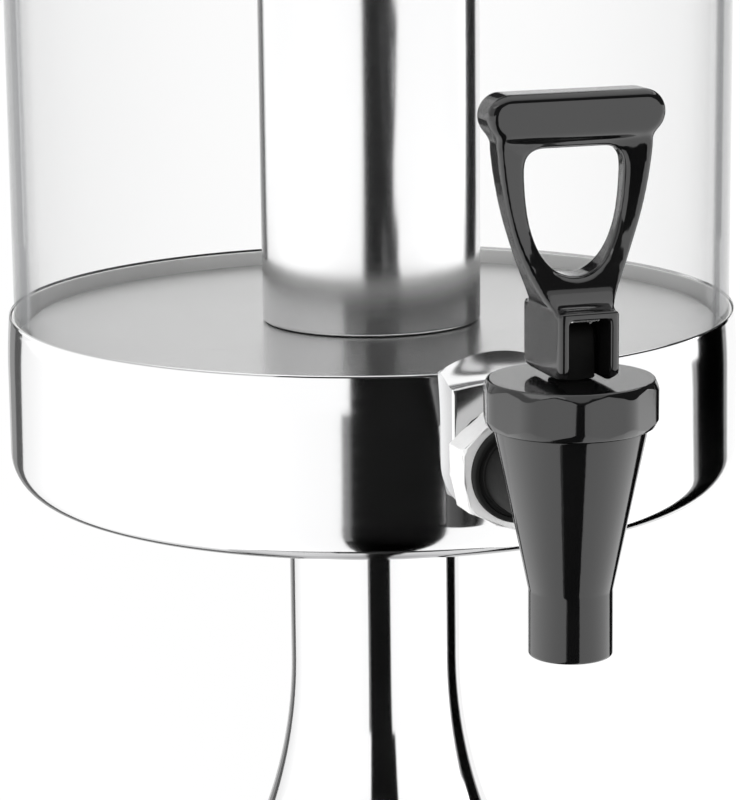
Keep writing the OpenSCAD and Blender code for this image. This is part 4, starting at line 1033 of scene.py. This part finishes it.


# Stage: a floor that glows though it is no lamp, its glow painted brightest at the sides, a white room,
# soft lights, and cards that only polished faces mirror

stage = {"look": 18.0, "floor": 12.0, "front": 1.45, "sides": 1.9, "sideBend": 1.5, "rear": 1.0,
         "frontBearing": 7.0, "room": 1.0, "top": 24.0, "topHigh": 2.6, "topSize": 4.0,
         "boxes": {"boxLeft": -48, "boxRight": 112}, "boxPower": 18.0, "boxAway": 1.9, "boxHigh": 0.9,
         "boxAim": 0.25, "boxSize": (2.2, 1.9), "cardNear": 0.05, "cardFar": 1.6, "cardBack": 1.7,
         "cardLow": 0.002, "cardMid": 0.43, "cardTop": 1.4, "footCard": [(0.03, 0.003), (0.085, 0.003)]}
look = math.radians(stage["look"])
toEye, toRight = Vector((-math.sin(look), -math.cos(look), 0)), Vector((math.cos(look), -math.sin(look), 0))
unitFoot = Vector((unitX["left"] * mm, columnY * mm, 0))


def ground(distance, degrees, z):  # a place round the left unit, by its bearing from the line to the camera
    turn = math.radians(degrees)
    return unitFoot + distance * (math.cos(turn) * toEye + math.sin(turn) * toRight) + Vector((0, 0, z))


def plainFinish(name, shade, glow=0.0):
    finish = startFinish(name, Roughness=1.0, Specular_IOR_Level=0.0, Emission_Strength=glow)[0]
    surface = finish.node_tree.nodes["Principled BSDF"]
    surface.inputs["Base Color"].default_value = (shade, shade, shade, 1)
    surface.inputs["Emission Color"].default_value = (1, 1, 1, 1)
    return finish


# painted light: the floor has no colour of its own and glows, brighter towards the front and brightest at the
# sides
def floorGlow():
    finish, flow, spots = startFinish("paleFloor", Roughness=1.0, Specular_IOR_Level=0.0,
                                      Emission_Strength=1.0)
    finish.node_tree.nodes["Principled BSDF"].inputs["Base Color"].default_value = (0, 0, 0, 1)
    split = flow.add("ShaderNodeSeparateXYZ", None, {"Vector": spots})
    x, y = (Flow(flow.tree, split.socket.node.outputs[key]) for key in "XY")
    x, y = x - unitFoot.x, y - unitFoot.y
    front = ground(1, stage["frontBearing"], 0) - unitFoot
    facing = (x * front.x + y * front.y) * (x * x + y * y) ** -0.5
    middle, lead = (stage["front"] + stage["rear"]) / 2, (stage["front"] - stage["rear"]) / 2
    aside = (1.0 - facing * facing) ** stage["sideBend"]
    return feed(finish, Emission_Color=middle + lead * facing + (stage["sides"] - middle) * aside)


def sheetOf(name, points, faces, finish):
    mesh = bpy.data.meshes.new(name)
    mesh.from_pydata([tuple(p) for p in points], [], faces)
    mesh.materials.append(finish)
    thing = bpy.data.objects.new(name, mesh)
    bpy.context.scene.collection.objects.link(thing)
    return thing


def standCard(name, start, end, path, shade, glow=0.0):  # a strip between two bearings along a path
    bearings = np.linspace(start, end, 9)
    points = [ground(d, a, z) for d, z in path for a in bearings]
    n = len(bearings)
    faces = [(k + j, k + j + 1, k + n + j + 1, k + n + j) for k in range(0, (len(path) - 1) * n, n)
             for j in range(n - 1)]
    card = sheetOf(name, points, faces, plainFinish(name, shade, glow))
    card.visible_camera = card.visible_diffuse = card.visible_shadow = card.visible_transmission = False


def softLight(name, place, aim, width, height, power):
    lamp = bpy.data.lights.new(name, "AREA")
    lamp.shape, lamp.size, lamp.size_y, lamp.energy = "RECTANGLE", width, height, power
    thing = bpy.data.objects.new(name, lamp)
    thing.location = place
    thing.rotation_euler = (Vector(aim) - Vector(place)).to_track_quat("-Z", "Y").to_euler()
    thing.visible_camera = False
    bpy.context.scene.collection.objects.link(thing)


for thing in bpy.data.objects:  # the photo's unit mirrors no neighbour and no base
    if not thing.name.endswith("_left") or thing.name.startswith(("dripTray", "grillePlate")):
        thing.visible_glossy = False
s = stage
floorCorners = [(s["floor"] * x, s["floor"] * y, 0) for x, y in ((-1, -1), (1, -1), (1, 1), (-1, 1))]
sheetOf("paleFloor", floorCorners, [(0, 1, 2, 3)], floorGlow())
# paths of cards, by distance and height
floorRun = [(s["cardNear"], s["cardLow"]), (s["cardFar"], s["cardLow"])]
wallRun = [(s["cardFar"], s["cardLow"]), (s["cardFar"], s["cardMid"])]
upperRun = [(s["cardFar"], s["cardMid"]), (s["cardFar"], s["cardTop"])]
backRun = [(s["cardBack"], s["cardLow"]), (s["cardBack"], s["cardMid"])]
cards = {  # start and end bearing, path, shade, and glow where it has one
    "darkFront": (-6.5, 20.5, floorRun, 0.0), "fringeFront": (-9, -6.5, floorRun, 0.2),
    "darkFrontFar": (-6.5, 24, wallRun, 0.0),
    "darkLeft": (-147, -138.5, floorRun, 0.09), "greyLeft": (-157, -147, floorRun, 0.25),
    "paleLeft": (-180, -157, floorRun, 0.5),
    "darkLeftFar": (-149, -141, wallRun, 0.09), "greyLeftFar": (-160, -149, wallRun, 0.25),
    "paleLeftFar": (-180, -160, wallRun, 0.5),
    "fringeRear": (113.5, 116.5, floorRun, 0.25), "darkRear": (116.5, 139, floorRun, 0.0),
    "paleRear": (139, 143, floorRun, 0.25),
    "darkRearFar": (118, 145, wallRun, 0.0), "greyFoot": (-180, 180, s["footCard"], 0.3),
    "darkAbove": (-29, 165, upperRun, 0.03), "whiteLow": (-137, 111, backRun, 0.0, 1.5),
    "greyAbove": (-137, -29, upperRun, 0.0, 0.8)}
for name, card in cards.items():
    standCard(name, *card)
room = bpy.data.worlds.new("room")
room.use_nodes = True
room.node_tree.nodes["Background"].inputs["Color"].default_value = (1, 1, 1, 1)
room.node_tree.nodes["Background"].inputs["Strength"].default_value = s["room"]
bpy.context.scene.world = room
softLight("overhead", (0, 0, s["topHigh"]), (0, 0, 0), s["topSize"], s["topSize"], s["top"])
boxAim = unitFoot + Vector((0, 0, s["boxAim"]))
for name, bearing in s["boxes"].items():
    softLight(name, ground(s["boxAway"], bearing, s["boxHigh"]), boxAim, *s["boxSize"], s["boxPower"])
bpy.context.scene.view_settings.view_transform = "Standard"
print("stage set")
